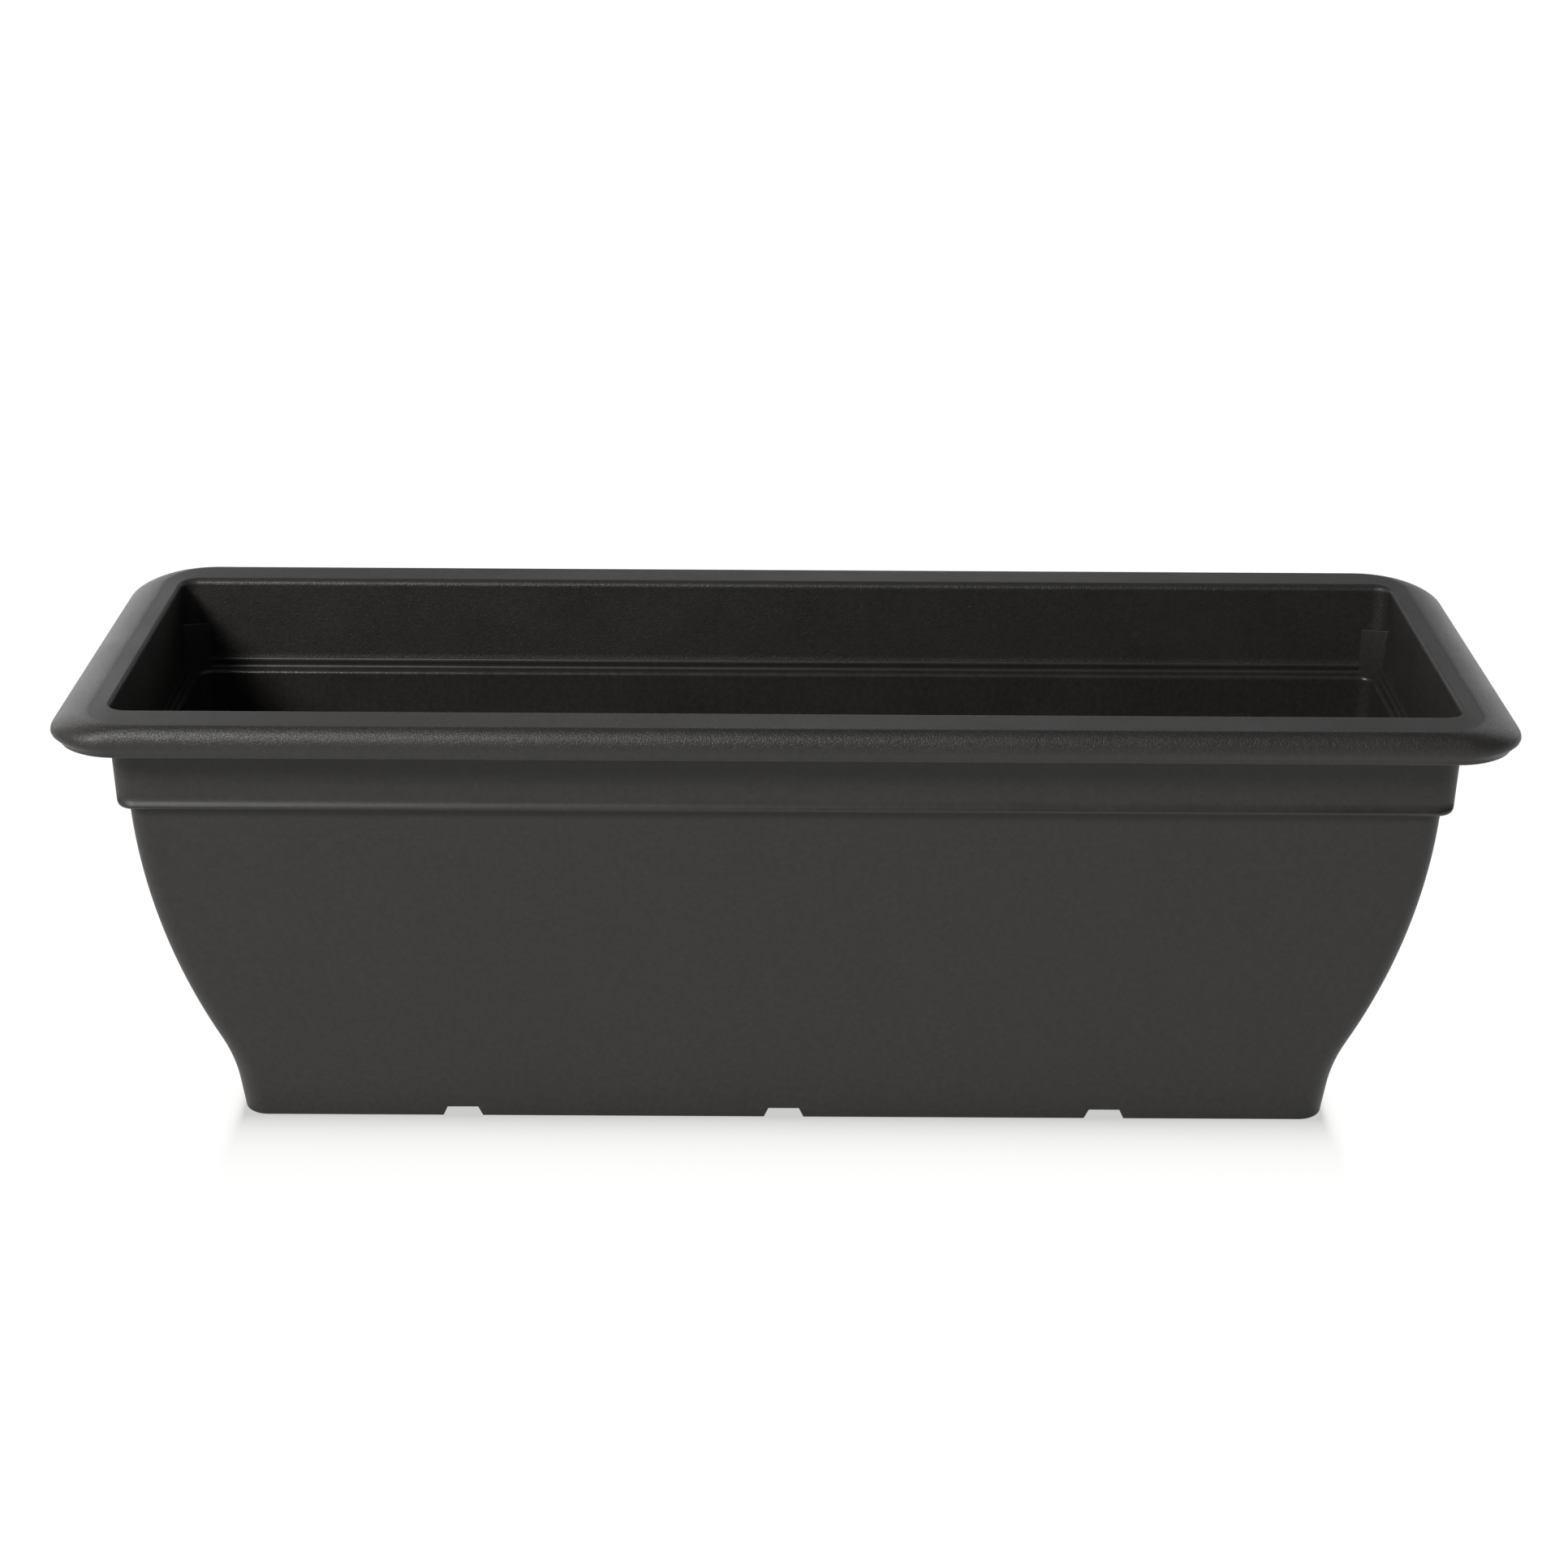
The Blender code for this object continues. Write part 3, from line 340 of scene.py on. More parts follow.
CORNER_STEPS = 16
DRAIN_WINDOW = 0.0105
DRAIN_ROWS = 3
WEB_REACH = 0.0064
WEB_THICK = 0.0022
WEB_HALF = 0.0075
WEB_SLANT = 0.22
WEB_CORNER = 0.0009
WEB_EDGE = 0.0006
SMALL_PART_POLISH = 0.35
LEAST_CORNER = 0.003
FOOT_EDGE = 0.0005
COLLAR_EDGE = 0.0024
COLLAR_HOLLOW = 0.0005
UNDER_RIM_FILLET = 0.002
LIP_EDGE = 0.0007
BEAD_LIFT = 0.0035
BEAD_HALF = 0.0011
BEAD_PROUD = 0.0005
STEP_HOLLOW = 0.0014
STEP_EDGE = 0.0021
FLOOR_FILLET = 0.005
BELLY_SWEEP = radians(25.5)
FOOT_DRAFT = radians(5.7)
OVERFLOW_HOLE = 0.0084
SIDE_TILT = radians(2.0)
ROLL_START = radians(77)


def rim_half_length(size, inset):
    """Half the length of a ring that lies inset in from the rim's outside along the sides. At the ends the
    roll is wider, so the inset there runs faster up to the crease and more slowly over the band."""
    crease = size.roll_run * (1 - cos(ROLL_START))
    stops = [0.0, crease, size.band, 1.0]
    ends = [0.0, size.end_roll, size.band + size.end_reach, 1.0 + size.end_reach]
    return TROUGH_HIGH.x - np.interp(inset, stops, ends)


class RingStack:
    """Rings of a rounded rectangle, one row each: half length, half width, height, corner radius, grain,
    polish, share of a circle instead."""

    def __init__(self):
        self.rows = []

    def add(self, half_x, half_y, z, corner, grain=0.0, polish=0.0, circle=0.0):
        columns = np.broadcast_arrays(*(np.atleast_1d(v) for v in (half_x, half_y, z, corner, grain, polish, circle)))
        self.rows.append(np.stack(columns, axis=1).astype(float))

    def table(self):
        return np.concatenate(self.rows)


def smooth(t):
    """A smooth step from 0 to 1."""
    t = np.clip(t, 0.0, 1.0)
    return t * t * (3.0 - 2.0 * t)


def outline_columns(size, foot_half_x):
    """Columns round a rounded rectangle, anticlockwise from above. A point is centre * (half size - corner)
    + corner * (cos, sin): the centre factor runs from -1 to 1 along a straight side and stays at 1 or -1
    round a corner. Returns centre x, centre y, cos, sin, and how far the column belongs to a short end."""
    reach = foot_half_x - size.base_corner
    half_top = size.notch_top / 2
    half_bottom = size.notch_bottom / 2
    edges = np.array([-half_bottom - 0.001, -half_bottom, -half_top, half_top, half_bottom, half_bottom + 0.001])
    stops = np.concatenate([[-reach], *(k * size.notch_pitch + edges for k in (-1, 0, 1)), [reach]])
    marks = []
    for a, b in zip(stops, stops[1:]):
        pieces = max(int(np.ceil((b - a) / 0.007)), 4 if b - a < 0.003 else 1)
        marks.append(np.linspace(a, b, pieces, endpoint=False))
    along = np.concatenate(marks)[1:] / reach
    across = np.linspace(-1, 1, 37)[1:-1]
    turn = np.linspace(0, pi / 2, CORNER_STEPS + 1)
    one = np.ones_like
    parts = []
    for quarter, (side_x, side_y) in enumerate(((1, 1), (-1, 1), (-1, -1), (1, -1))):
        angle = turn + quarter * pi / 2
        if quarter % 2 == 0:
            run = across * side_x
            parts.append((one(run) * side_x, run, one(run) * side_x, 0 * run, one(run)))
            end_share = smooth(1 - turn / (pi / 2) * 1.4)
        else:
            run = along * side_x
            parts.append((run, one(run) * side_y, 0 * run, one(run) * side_y, 0 * run))
            end_share = smooth(1 - (pi / 2 - turn) / (pi / 2) * 1.4)
        parts.append((one(turn) * side_x, one(turn) * side_y, np.cos(angle), np.sin(angle), end_share))
    return [np.concatenate(column) for column in zip(*parts)]


def trough_end(size, z, inset=0.0):
    """Half the body's length at height z: a belly arc, a foot arc tangent to it, and a short straight foot."""
    top = TROUGH_HIGH.x - size.end_reach - size.collar_bottom - size.step
    belly = size.belly_radius - inset
    foot = size.foot_radius + inset
    centre_x = top - size.belly_radius
    foot_x = centre_x + (size.belly_radius + size.foot_radius) * cos(BELLY_SWEEP)
    foot_z = size.belly_z - (size.belly_radius + size.foot_radius) * sin(BELLY_SWEEP)
    belly_end_z = size.belly_z - belly * sin(BELLY_SWEEP)
    foot_end_z = foot_z + foot * sin(FOOT_DRAFT)
    z = np.asarray(z, float)
    on_belly = centre_x + np.sqrt(np.clip(belly**2 - np.clip(size.belly_z - z, 0, None) ** 2, 0, None))
    on_foot = foot_x - np.sqrt(np.clip(foot**2 - np.clip(z - foot_z, 0, foot) ** 2, 0, None))
    straight = foot_x - foot * cos(FOOT_DRAFT) - (foot_end_z - z) * tan(FOOT_DRAFT)
    return np.where(z > belly_end_z, on_belly, np.where(z > foot_end_z, on_foot, straight))


def trough_side(size, z):
    """Half the body's width at height z: the long sides are flat and taper to the base."""
    top = TROUGH_HIGH.y - size.collar_bottom - size.step
    return top - size.side_taper * (size.belly_z - z) / size.belly_z


def trough_corner(size, z):
    """Corner radius of the body at height z."""
    return size.body_corner + (size.base_corner - size.body_corner) * (size.belly_z - z) / size.belly_z


def add_body_rings(stack, size, z, inset=0.0, cut=0.0, **finish):
    corner = np.maximum(trough_corner(size, z) - inset - cut, LEAST_CORNER)
    stack.add(trough_end(size, z, inset) - cut, trough_side(size, z) - inset - cut, z, corner, **finish)


def add_outer_rings(stack, size):
    """Across the underside, down and round the skirt, up the outside, round the collar and out under the rim."""
    half_y = TROUGH_HIGH.y
    height = TROUGH_HIGH.z
    for share in (1.0, 0.97, 0.85, 0.6, 0.3, 0.0):
        add_body_rings(stack, size, size.floor_under, size.skirt, circle=share)
    add_body_rings(stack, size, np.linspace(size.floor_under - 0.0008, 0.0006, 6), size.skirt)
    edge = FOOT_EDGE
    for angle in np.linspace(0, pi / 2, 4):
        add_body_rings(stack, size, edge * (1 - sin(angle)), size.skirt - edge * (1 - cos(angle)))
    for angle in np.linspace(0, pi / 2, 4):
        add_body_rings(stack, size, edge * (1 - cos(angle)), edge * (1 - sin(angle)))
    add_body_rings(stack, size, np.linspace(0.001, size.belly_z, 50))

    def at(inset, z, corner, **finish):
        stack.add(rim_half_length(size, inset), half_y - inset, z, corner, **finish)

    edge = COLLAR_EDGE
    hollow = COLLAR_HOLLOW
    angle = np.linspace(0, pi / 2, 5)
    step_inset = size.collar_bottom + size.step
    at(step_inset - hollow * (1 - np.cos(angle)), size.collar_z - hollow + hollow * np.sin(angle), size.body_corner)
    angle = np.linspace(0, pi / 2, 8)
    at(
        size.collar_bottom + edge * (1 - np.sin(angle)),
        size.collar_z + edge * (1 - np.cos(angle)),
        size.collar_corner - edge * (1 - np.sin(angle)),
    )
    under = height - size.wall
    rise = np.linspace(0, 1, 10)
    at(
        size.collar_bottom + (size.collar_top - size.collar_bottom) * rise,
        size.collar_z + edge + (under - UNDER_RIM_FILLET - size.collar_z - edge) * rise,
        size.collar_corner + 0.0005 * rise,
    )
    fillet_inset = size.collar_top - UNDER_RIM_FILLET * (1 - np.cos(angle))
    at(fillet_inset, under - UNDER_RIM_FILLET * (1 - np.sin(angle)), size.collar_corner + 0.001)


def add_rim_rings(stack, size):
    """Under the roll, round the lip, over the roll, across the band and round the inner edge.

    The roll is a quarter ellipse that meets the band a little early, so a soft crease runs along it."""
    half_y = TROUGH_HIGH.y
    height = TROUGH_HIGH.z
    wall = size.wall

    def at(inset, z, corner, **finish):
        stack.add(rim_half_length(size, inset), half_y - inset, z, corner, **finish)

    angle = np.linspace(0, pi / 2, 8)
    run = size.roll_run - wall
    drop = size.roll_drop - wall
    under_inset = size.roll_run - run * np.sin(angle)
    at(under_inset, height - wall - drop * (1 - np.cos(angle)), size.outer_corner - under_inset)
    lip_z = height - size.lip_drop
    round_off = LIP_EDGE
    lip_in = wall + size.lip_tuck
    lip_out = size.lip_tuck
    angle = np.linspace(0, pi / 2, 5)
    inner = lip_in - round_off * (1 - np.cos(angle))
    at(inner, lip_z + round_off * (1 - np.sin(angle)), size.outer_corner - inner)
    outer = lip_out + round_off * (1 - np.sin(angle))
    at(outer, lip_z + round_off * (1 - np.cos(angle)), size.outer_corner - outer, grain=0.6)
    fall = np.linspace(0, 1, 6)[1:-1]
    outer = lip_out * (1 - smooth(fall))
    fall_z = lip_z + round_off + (size.lip_drop - size.roll_drop - round_off) * fall
    at(outer, fall_z, size.outer_corner - outer, grain=0.8)
    angle = np.linspace(0, ROLL_START, 22)
    inset = size.roll_run * (1 - np.cos(angle))
    z = height - size.roll_drop * (1 - np.sin(angle) / sin(ROLL_START))
    grain = smooth((angle / ROLL_START - 1.03) / -0.12)
    at(inset, z, size.outer_corner - inset, grain=grain)
    crease = inset[-1]
    flat_end = size.band - size.inner_edge
    start_corner = size.outer_corner - crease
    end_corner = size.inner_corner + size.inner_edge
    share = np.array([0.02, 0.05, 0.1, 0.18, 0.3, 0.45, 0.6, 0.75, 0.88, 0.96])
    at(crease + (flat_end - crease) * share, height, start_corner + (end_corner - start_corner) * share)
    angle = np.linspace(0, pi / 2, 12)
    inset = flat_end + size.inner_edge * np.sin(angle)
    grain = smooth((angle - 0.5) / 0.6)
    at(inset, height - size.inner_edge * (1 - np.cos(angle)), size.inner_corner + size.band - inset, grain=grain)


def add_inner_rings(stack, size):
    """Down the grained collar, round a small bead, across the step, down the polished wall and over the floor."""
    half_y = TROUGH_HIGH.y
    height = TROUGH_HIGH.z
    wall = size.wall

    def at(inset, z, corner, **finish):
        stack.add(rim_half_length(size, inset), half_y - inset, z, corner, **finish)

    step_z = size.collar_z + wall
    collar = size.collar_inside
    body = size.collar_bottom + size.step + wall
    bead_z = step_z + BEAD_LIFT
    top_z = height - size.inner_edge - 0.0008
    share = np.linspace(0, 1, 14)
    wall_z = top_z + (bead_z + 0.0014 - top_z) * share
    at(size.band + (collar - size.band) * share, wall_z, size.inner_corner, grain=1.0)
    angle = np.linspace(-pi / 2, pi / 2, 9)[1:-1]
    at(collar + BEAD_PROUD * np.cos(angle), bead_z - BEAD_HALF * np.sin(angle), size.inner_corner, grain=0.35)
    angle = np.linspace(0, pi / 2, 6)
    hollow = STEP_HOLLOW
    hollow_z = step_z + hollow * (1 - np.sin(angle))
    at(collar + hollow * (1 - np.cos(angle)), hollow_z, size.inner_corner - 0.0005, polish=0.5)
    edge = STEP_EDGE
    angle = np.linspace(0, pi / 2, 10)
    inset = body - edge * (1 - np.sin(angle))
    at(inset, step_z - edge * (1 - np.cos(angle)), size.body_corner - wall + edge * (1 - np.sin(angle)), polish=1.0)
    fillet = FLOOR_FILLET
    fillet_z = size.floor_top + fillet
    z = np.linspace(step_z - edge - 0.0012, fillet_z + 0.0008, 44)
    add_body_rings(stack, size, z, wall, polish=1.0)
    angle = np.linspace(0, pi / 2, 8)
    add_body_rings(
        stack, size, fillet_z - fillet * np.sin(angle), wall, fillet * (1 - np.cos(angle)), polish=0.7
    )
    for share in (0.3, 0.6, 0.85, 0.97, 1.0):
        add_body_rings(stack, size, size.floor_top, wall, fillet, polish=0.5, circle=share)


def notch_rise(size, x, on_long_side):
    """How far the foot's bottom edge lifts at x: three trapezoids, wider at the ground."""
    gap = np.abs(x[..., None] - size.notch_pitch * np.array([-1, 0, 1])).min(axis=-1)
    slope = (size.notch_bottom / 2 - gap) / (size.notch_bottom / 2 - size.notch_top / 2)
    return size.notch_height * np.clip(slope, 0, 1) * on_long_side


def trough_points(size):
    """The trough's closed surface as rings by columns, and its finish (grain, polish, share of a short end)."""
    stack = RingStack()
    add_outer_rings(stack, size)
    add_rim_rings(stack, size)
    add_inner_rings(stack, size)
    half_x, half_y, z, corner, grain, polish, circle = stack.table().T[:, :, None]
    centre_x, centre_y, turn_cos, turn_sin, end_share = outline_columns(size, float(trough_end(size, 0.0)))
    x = (half_x - corner) * centre_x + corner * turn_cos
    y = (half_y - corner) * centre_y + corner * turn_sin
    angle = np.arctan2(y[-1], x[-1])
    x = x + (OVERFLOW_HOLE * np.cos(angle) - x) * circle
    y = y + (OVERFLOW_HOLE * np.sin(angle) - y) * circle
    notched = size.floor_under - 0.0002
    foot = np.clip(1 - z / notched, 0, 1) * (half_x < trough_end(size, 0.0) + 0.01)
    height = z + notch_rise(size, x, (turn_cos == 0) & (np.abs(centre_x) < 1)) * foot
    rim = np.clip(size.band - (TROUGH_HIGH.y - half_y), 0, size.band) * (z > size.collar_z + 0.01)
    height = height - rim * tan(SIDE_TILT) * end_share
    points = np.stack(np.broadcast_arrays(x, y, height), axis=-1)
    finish = np.stack(np.broadcast_arrays(grain, polish, end_share * (rim > 0)), axis=-1)
    return points, finish


def drain_window(size, fitting, points):
    """Moves the border of a block of both back walls onto a circle, ready to be opened for the drain."""
    wall_row = points[len(points) // 4]
    middle = int(np.argmin(np.abs(wall_row[:, 0]) + (wall_row[:, 1] < 0)))
    wall_y = points[:, middle, 1]
    height = points[:, middle, 2]
    insets = (0.0, size.wall)
    window = []
    for inset, turn in zip(insets, (1, -1)):
        on_wall = np.abs(wall_y - trough_side(size, height) + inset) < 1e-6
        nearest = int(np.argmin(np.abs(height - fitting.drain_z) + ~on_wall))
        window += [nearest - turn * DRAIN_ROWS, nearest + turn * DRAIN_ROWS]
    low_row = points[window[0]]
    inside = np.flatnonzero((np.abs(low_row[:, 0]) < DRAIN_WINDOW) & (low_row[:, 1] > 0))
    window += [int(inside[0]), int(inside[-1])]
    flat = points.reshape(-1, 3)
    for inset, (low, high) in zip(insets, (window[:2], window[2:4])):
        loop = border(points.shape[1], low, high, *window[4:])
        angle = np.arctan2(flat[loop, 2] - fitting.drain_z, flat[loop, 0])
        flat[loop, 0] = DRAIN_WINDOW * np.cos(angle)
        flat[loop, 2] = fitting.drain_z + DRAIN_WINDOW * np.sin(angle)
        flat[loop, 1] = trough_side(size, flat[loop, 2]) - inset
    return window


def make_webs(size):
    """Upright webs across the collar's inner corners, each a thin rounded block whose top slants."""
    half_x = float(rim_half_length(size, size.collar_inside))
    half_y = TROUGH_HIGH.y - size.collar_inside
    foot = size.collar_z + size.wall / 2
    shells = []
    for side_x in (1, -1):
        for side_y in (1, -1):
            low = (WEB_REACH - WEB_THICK, -WEB_HALF, foot)
            high = (WEB_REACH, WEB_HALF, size.web_top - WEB_SLANT * WEB_HALF)
            points = block_points(low, high, WEB_CORNER, WEB_EDGE)
            rise = (points[..., 2] - foot) / (size.web_top - foot)
            points[..., 2] += WEB_SLANT * points[..., 1] * rise * side_x * side_y
            inward = np.array([-side_x, -side_y, 0.0]) / np.sqrt(2)
            along = np.array([-inward[1], inward[0], 0.0])
            corner = np.array([side_x * half_x, side_y * half_y, 0.0])
            upright = points[..., 2:] * np.array([0.0, 0.0, 1.0])
            shells.append(grid_shell(corner + points[..., :1] * inward + points[..., 1:2] * along + upright))
    return shells


def make_drain_boss(size, fitting):
    """A round boss with the drain's bore, a flat upright seat on the sloping wall."""
    inside = trough_side(size, fitting.drain_z) - size.wall - 0.001
    profile = (
        (fitting.drain_boss, inside),
        (fitting.drain_boss, fitting.drain_face),
        (fitting.drain_hole, fitting.drain_face),
        (fitting.drain_hole, inside),
    )
    return turned(rounded_path(profile, (0.0012, 0.0007, 0.0005, 0.0005)), (0, 0, fitting.drain_z), "Y", True)


def make_trough(size, fitting, material):
    points, finish = trough_points(size)
    window = drain_window(size, fitting, points)
    vertices, faces = grid_shell(points, wrap_rows=True)
    shells = [(vertices, cut_windows(faces, points.shape[1], [window]))]
    shells += [make_drain_boss(size, fitting), *make_webs(size)]
    piece, used = make_piece("trough", shells, material, "trough", ["trough_shell"])
    extra = np.zeros((len(used) - finish.shape[0] * finish.shape[1], 3))
    extra[:, 1] = SMALL_PART_POLISH
    rgba = np.ones((len(piece.data.vertices), 4), np.float32)
    rgba[:, :3] = np.concatenate([finish.reshape(-1, 3), extra])[used]
    layer = piece.data.attributes.new("finish", "FLOAT_COLOR", "POINT")
    layer.data.foreach_set("color", rgba.ravel())
    return piece


# ---- Watering parts ----------------------------------------------------------------------------

WASHER_RADIUS = 0.0135
WINDOW_SKIN = 0.0016
WINDOW_OVERLAP = 0.012
FLOAT_SOCKET = 0.010
FLAG_CAP = 0.0045
FLAG_HEIGHT = 0.009
GAUGE_FOOT = 0.0015
GAUGE_INLET = 0.0050
FLOAT_CLEARANCE = 0.0018
EYE_RADIUS = 0.0028
PIN_RADIUS = 0.0012
PIN_BORE = 0.0015
EAR_NEAR = 0.0036
EAR_FAR = 0.0066
KNUCKLE_HALF = 0.0032
CUP_FLANGE = 0.0020
MOUTH_BEAD = 0.0012
THREAD_PITCH = 0.0016
THREAD_DEPTH = 0.0005
SLOT_LOW_Z = 0.018
SLOT_HIGH_Z = 0.044
CUP_SLOTS = 8
BLOCK_EDGE = 0.0004


def make_overflow(size, fitting, plastic, rubber):
    """A stand pipe with a helical thread below its flange, the washer, and a six-sided nut."""
    seal_low = size.floor_top + fitting.gap
    seal_high = seal_low + fitting.seal_thick
    flange_low = seal_high + fitting.gap
    flange_high = flange_low + fitting.flange
    foot = size.floor_under - fitting.gap - fitting.nut_thick - 0.001
    outer = fitting.overflow
    corners = (
        (outer - THREAD_DEPTH, foot),
        (outer - THREAD_DEPTH, flange_low),
        (fitting.overflow_flange, flange_low),
        (fitting.overflow_flange, flange_high),
        (outer, flange_high),
        (outer, fitting.water_line),
        (fitting.overflow_bore, fitting.water_line),
        (fitting.overflow_bore, foot),
    )
    path = rounded_path(corners, (0.0004, 0.0002, 0.0006, 0.0006, 0.0008, 0.0007, 0.0005, 0.0004))
    thread_z = np.linspace(foot + 0.0006, flange_low - 0.0006, 84)
    angle = np.linspace(0, 2 * pi, 64, endpoint=False)
    wave = np.abs((thread_z[:, None] / THREAD_PITCH - angle / (2 * pi)) % 1.0 * 2 - 1)
    fade = smooth(np.minimum(thread_z - thread_z[0], thread_z[-1] - thread_z) / 0.0008)[:, None]
    threads = outer - THREAD_DEPTH + THREAD_DEPTH * smooth(wave * 1.4 - 0.2) * fade
    plain = path[:, :1] * np.ones(64)
    radius = np.concatenate([plain[:5], threads, plain[5:]])
    along = np.concatenate([path[:5, 1], thread_z, path[5:, 1]])
    pipe = round_shell(radius, along, closed=True)
    make_piece("overflow_stand_pipe", [pipe], plastic, "trough", ["overflow_pipe"])

    clear = outer + fitting.gap
    ring = ((WASHER_RADIUS, seal_low), (WASHER_RADIUS, seal_high), (clear, seal_high), (clear, seal_low))
    washer = turned(rounded_path(ring, 0.0005), closed=True)
    make_piece("overflow_washer", [washer], rubber, "trough", ["overflow_seal"])

    high = size.floor_under - fitting.gap
    low = high - fitting.nut_thick
    angle = np.linspace(0, 2 * pi, 96, endpoint=False)
    flat = fitting.nut * cos(pi / 6)
    hexagon = flat / np.cos((angle + pi / 6) % (pi / 3) - pi / 6)
    chamfer = flat + np.array([0.0, 0.0005, 0.0012, 0.0030, 0.0030, 0.0012, 0.0005, 0.0])[:, None]
    sides = np.minimum(hexagon, chamfer)
    bore = np.full((2, 96), clear) + np.array([[0.0004], [0.0]])
    radius = np.concatenate([sides, bore, bore[::-1]])
    level = np.array([0.0, 0.0002, 0.0005, 0.0011])
    along = np.concatenate([low + level, high - level[::-1], [high, high - 0.0004, low + 0.0004, low]])
    nut = round_shell(radius, along, closed=True, angle=angle)
    make_piece("overflow_hex_nut", [nut], plastic, "trough", ["overflow_nut"], radians(28))


def make_bung(fitting, rubber):
    """A rubber stopper with two sealing ribs on its shank, a domed head and a grip tab."""
    face = fitting.drain_face + fitting.gap
    head = fitting.bung_head
    full = fitting.drain_hole - fitting.gap
    corners = (
        (0.0, face - 0.0110),
        (full * 0.90, face - 0.0110),
        (full - 0.0005, face - 0.0080),
        (full, face - 0.0074),
        (full - 0.0005, face - 0.0066),
        (full - 0.0004, face - 0.0040),
        (full, face - 0.0034),
        (full - 0.0004, face - 0.0026),
        (full - 0.0004, face),
        (head, face),
        (head, face + 0.0020),
        (head - 0.0030, face + 0.0026),
        (0.0, face + 0.0026),
    )
    radii = (0, 0.0010, 0.0004, 0.0005, 0.0004, 0.0004, 0.0005, 0.0004, 0.0003, 0.0005, 0.0009, 0.0010, 0)
    stopper = turned(rounded_path(corners, radii, closed=False), (0, 0, fitting.drain_z), "Y")
    low = (-0.0070, face + 0.0013, fitting.drain_z - 0.0014)
    tab = block(low, (0.0070, face + 0.0105, fitting.drain_z + 0.0014), 0.0012, 0.0012, "Y")
    make_piece("drain_stopper", [stopper, tab], rubber, "bung", ["drain_bung"])


def cup_shell(fitting, x):
    """A slotted cup: rows run from the middle of its underside up the outside, over the flange and down the
    inside. The columns follow the slots' straight sides, so a slot's half angle is asin(half width / radius)."""
    flange_low = fitting.platform_top + fitting.gap
    flange_high = flange_low + CUP_FLANGE
    zone = np.linspace(SLOT_LOW_Z, SLOT_HIGH_Z, 8)
    wall = np.interp(zone, (fitting.cup_floor, flange_low), (fitting.cup_bottom, fitting.cup_top))
    inner_wall = wall - fitting.cup_skin
    bottom = rounded_path(
        ((0.0, fitting.cup_floor), (fitting.cup_bottom, fitting.cup_floor), (wall[0], zone[0])), 0.0020, False
    )
    top = rounded_path(
        (
            (wall[-1], zone[-1]),
            (fitting.cup_top, flange_low),
            (fitting.cup_rim, flange_low),
            (fitting.cup_rim, flange_high),
            (fitting.cup_top - fitting.cup_skin, flange_high),
            (inner_wall[-1], zone[-1]),
        ),
        (0, 0.0006, 0.0008, 0.0008, 0.0008, 0),
        False,
    )
    floor_z = fitting.cup_floor + fitting.cup_skin
    inside = rounded_path(
        ((inner_wall[0], zone[0]), (fitting.cup_bottom - fitting.cup_skin, floor_z), (0.0, floor_z)), 0.0012, False
    )
    outside_rows = np.stack([wall, zone], axis=1)
    inside_rows = np.stack([inner_wall, zone], axis=1)[::-1]
    rows = np.concatenate([bottom[:-1], outside_rows, top[1:-1], inside_rows, inside[1:]])
    radius = rows[:, :1]
    slot_half = np.arcsin(fitting.cup_slot / 2 / np.maximum(radius, 0.010))
    sector = 2 * pi / CUP_SLOTS
    across = np.linspace(-1, 1, 5)[None, :]
    between = np.linspace(0, 1, 8)[None, 1:-1]
    local = np.concatenate([slot_half * across, slot_half + (sector - 2 * slot_half) * between], axis=1)
    starts = (np.arange(CUP_SLOTS) + 0.5) * sector
    angle = (starts[None, :, None] + local[:, None, :]).reshape(len(rows), -1)
    columns = angle.shape[1]
    vertices, faces = round_shell(radius * np.ones(columns), rows[:, 1], (x, 0, 0), angle=angle)
    outer_low = len(bottom) - 1
    outer_high = outer_low + len(zone) - 1
    inner_high = outer_high + len(top) - 1
    inner_low = inner_high + len(zone) - 1
    per_slot = local.shape[1]
    windows = []
    for k in range(CUP_SLOTS):
        windows.append((outer_low, outer_high, inner_low, inner_high, k * per_slot, k * per_slot + 4))
    return vertices, cut_windows(faces, columns, windows)


def make_cups(fitting, material):
    near = fitting.cup_spacing
    far = near + fitting.cup_pitch
    places = ((-far, "left_platform"), (-near, "left_platform"), (near, "right_platform"), (far, "right_platform"))
    for number, (x, body) in enumerate(places, 1):
        shell = cup_shell(fitting, x)
        node_name = f"soil_cup_{number}"
        make_piece(f"wicking_cup_{number}", [shell], material, body, [node_name], radians(40))


def ear_outline(angle):
    """Radius per angle of a hinge ear about its bore: a round eye on a foot that runs down to the pipe."""
    turn = np.linspace(0, radians(150), 24)
    path = EYE_RADIUS * np.stack([np.cos(turn), np.sin(turn)], axis=1)
    foot = np.array([(-0.0052, -0.0025), (-0.0052, -0.0092), (0.0020, -0.0092), (0.0028, -0.0060), (0.0028, 0.0)])
    corners = np.concatenate([path, foot])
    stops = np.arange(len(corners))
    fine = np.linspace(0, stops[-1], 400)
    y = np.interp(fine, stops, corners[:, 0])
    z = np.interp(fine, stops, corners[:, 1])
    return np.interp(angle, np.arctan2(z, y) % (2 * pi), np.hypot(y, z), period=2 * pi)


def flanged(fitting, radius, foot):
    """Profile of a pipe's outside from its foot up past the flange that rests on the platform."""
    low = fitting.platform_top + fitting.gap
    high = low + fitting.flange
    reach = radius + fitting.flange_reach
    return [(radius, foot), (radius, low), (reach, low), (reach, high), (radius, high)]


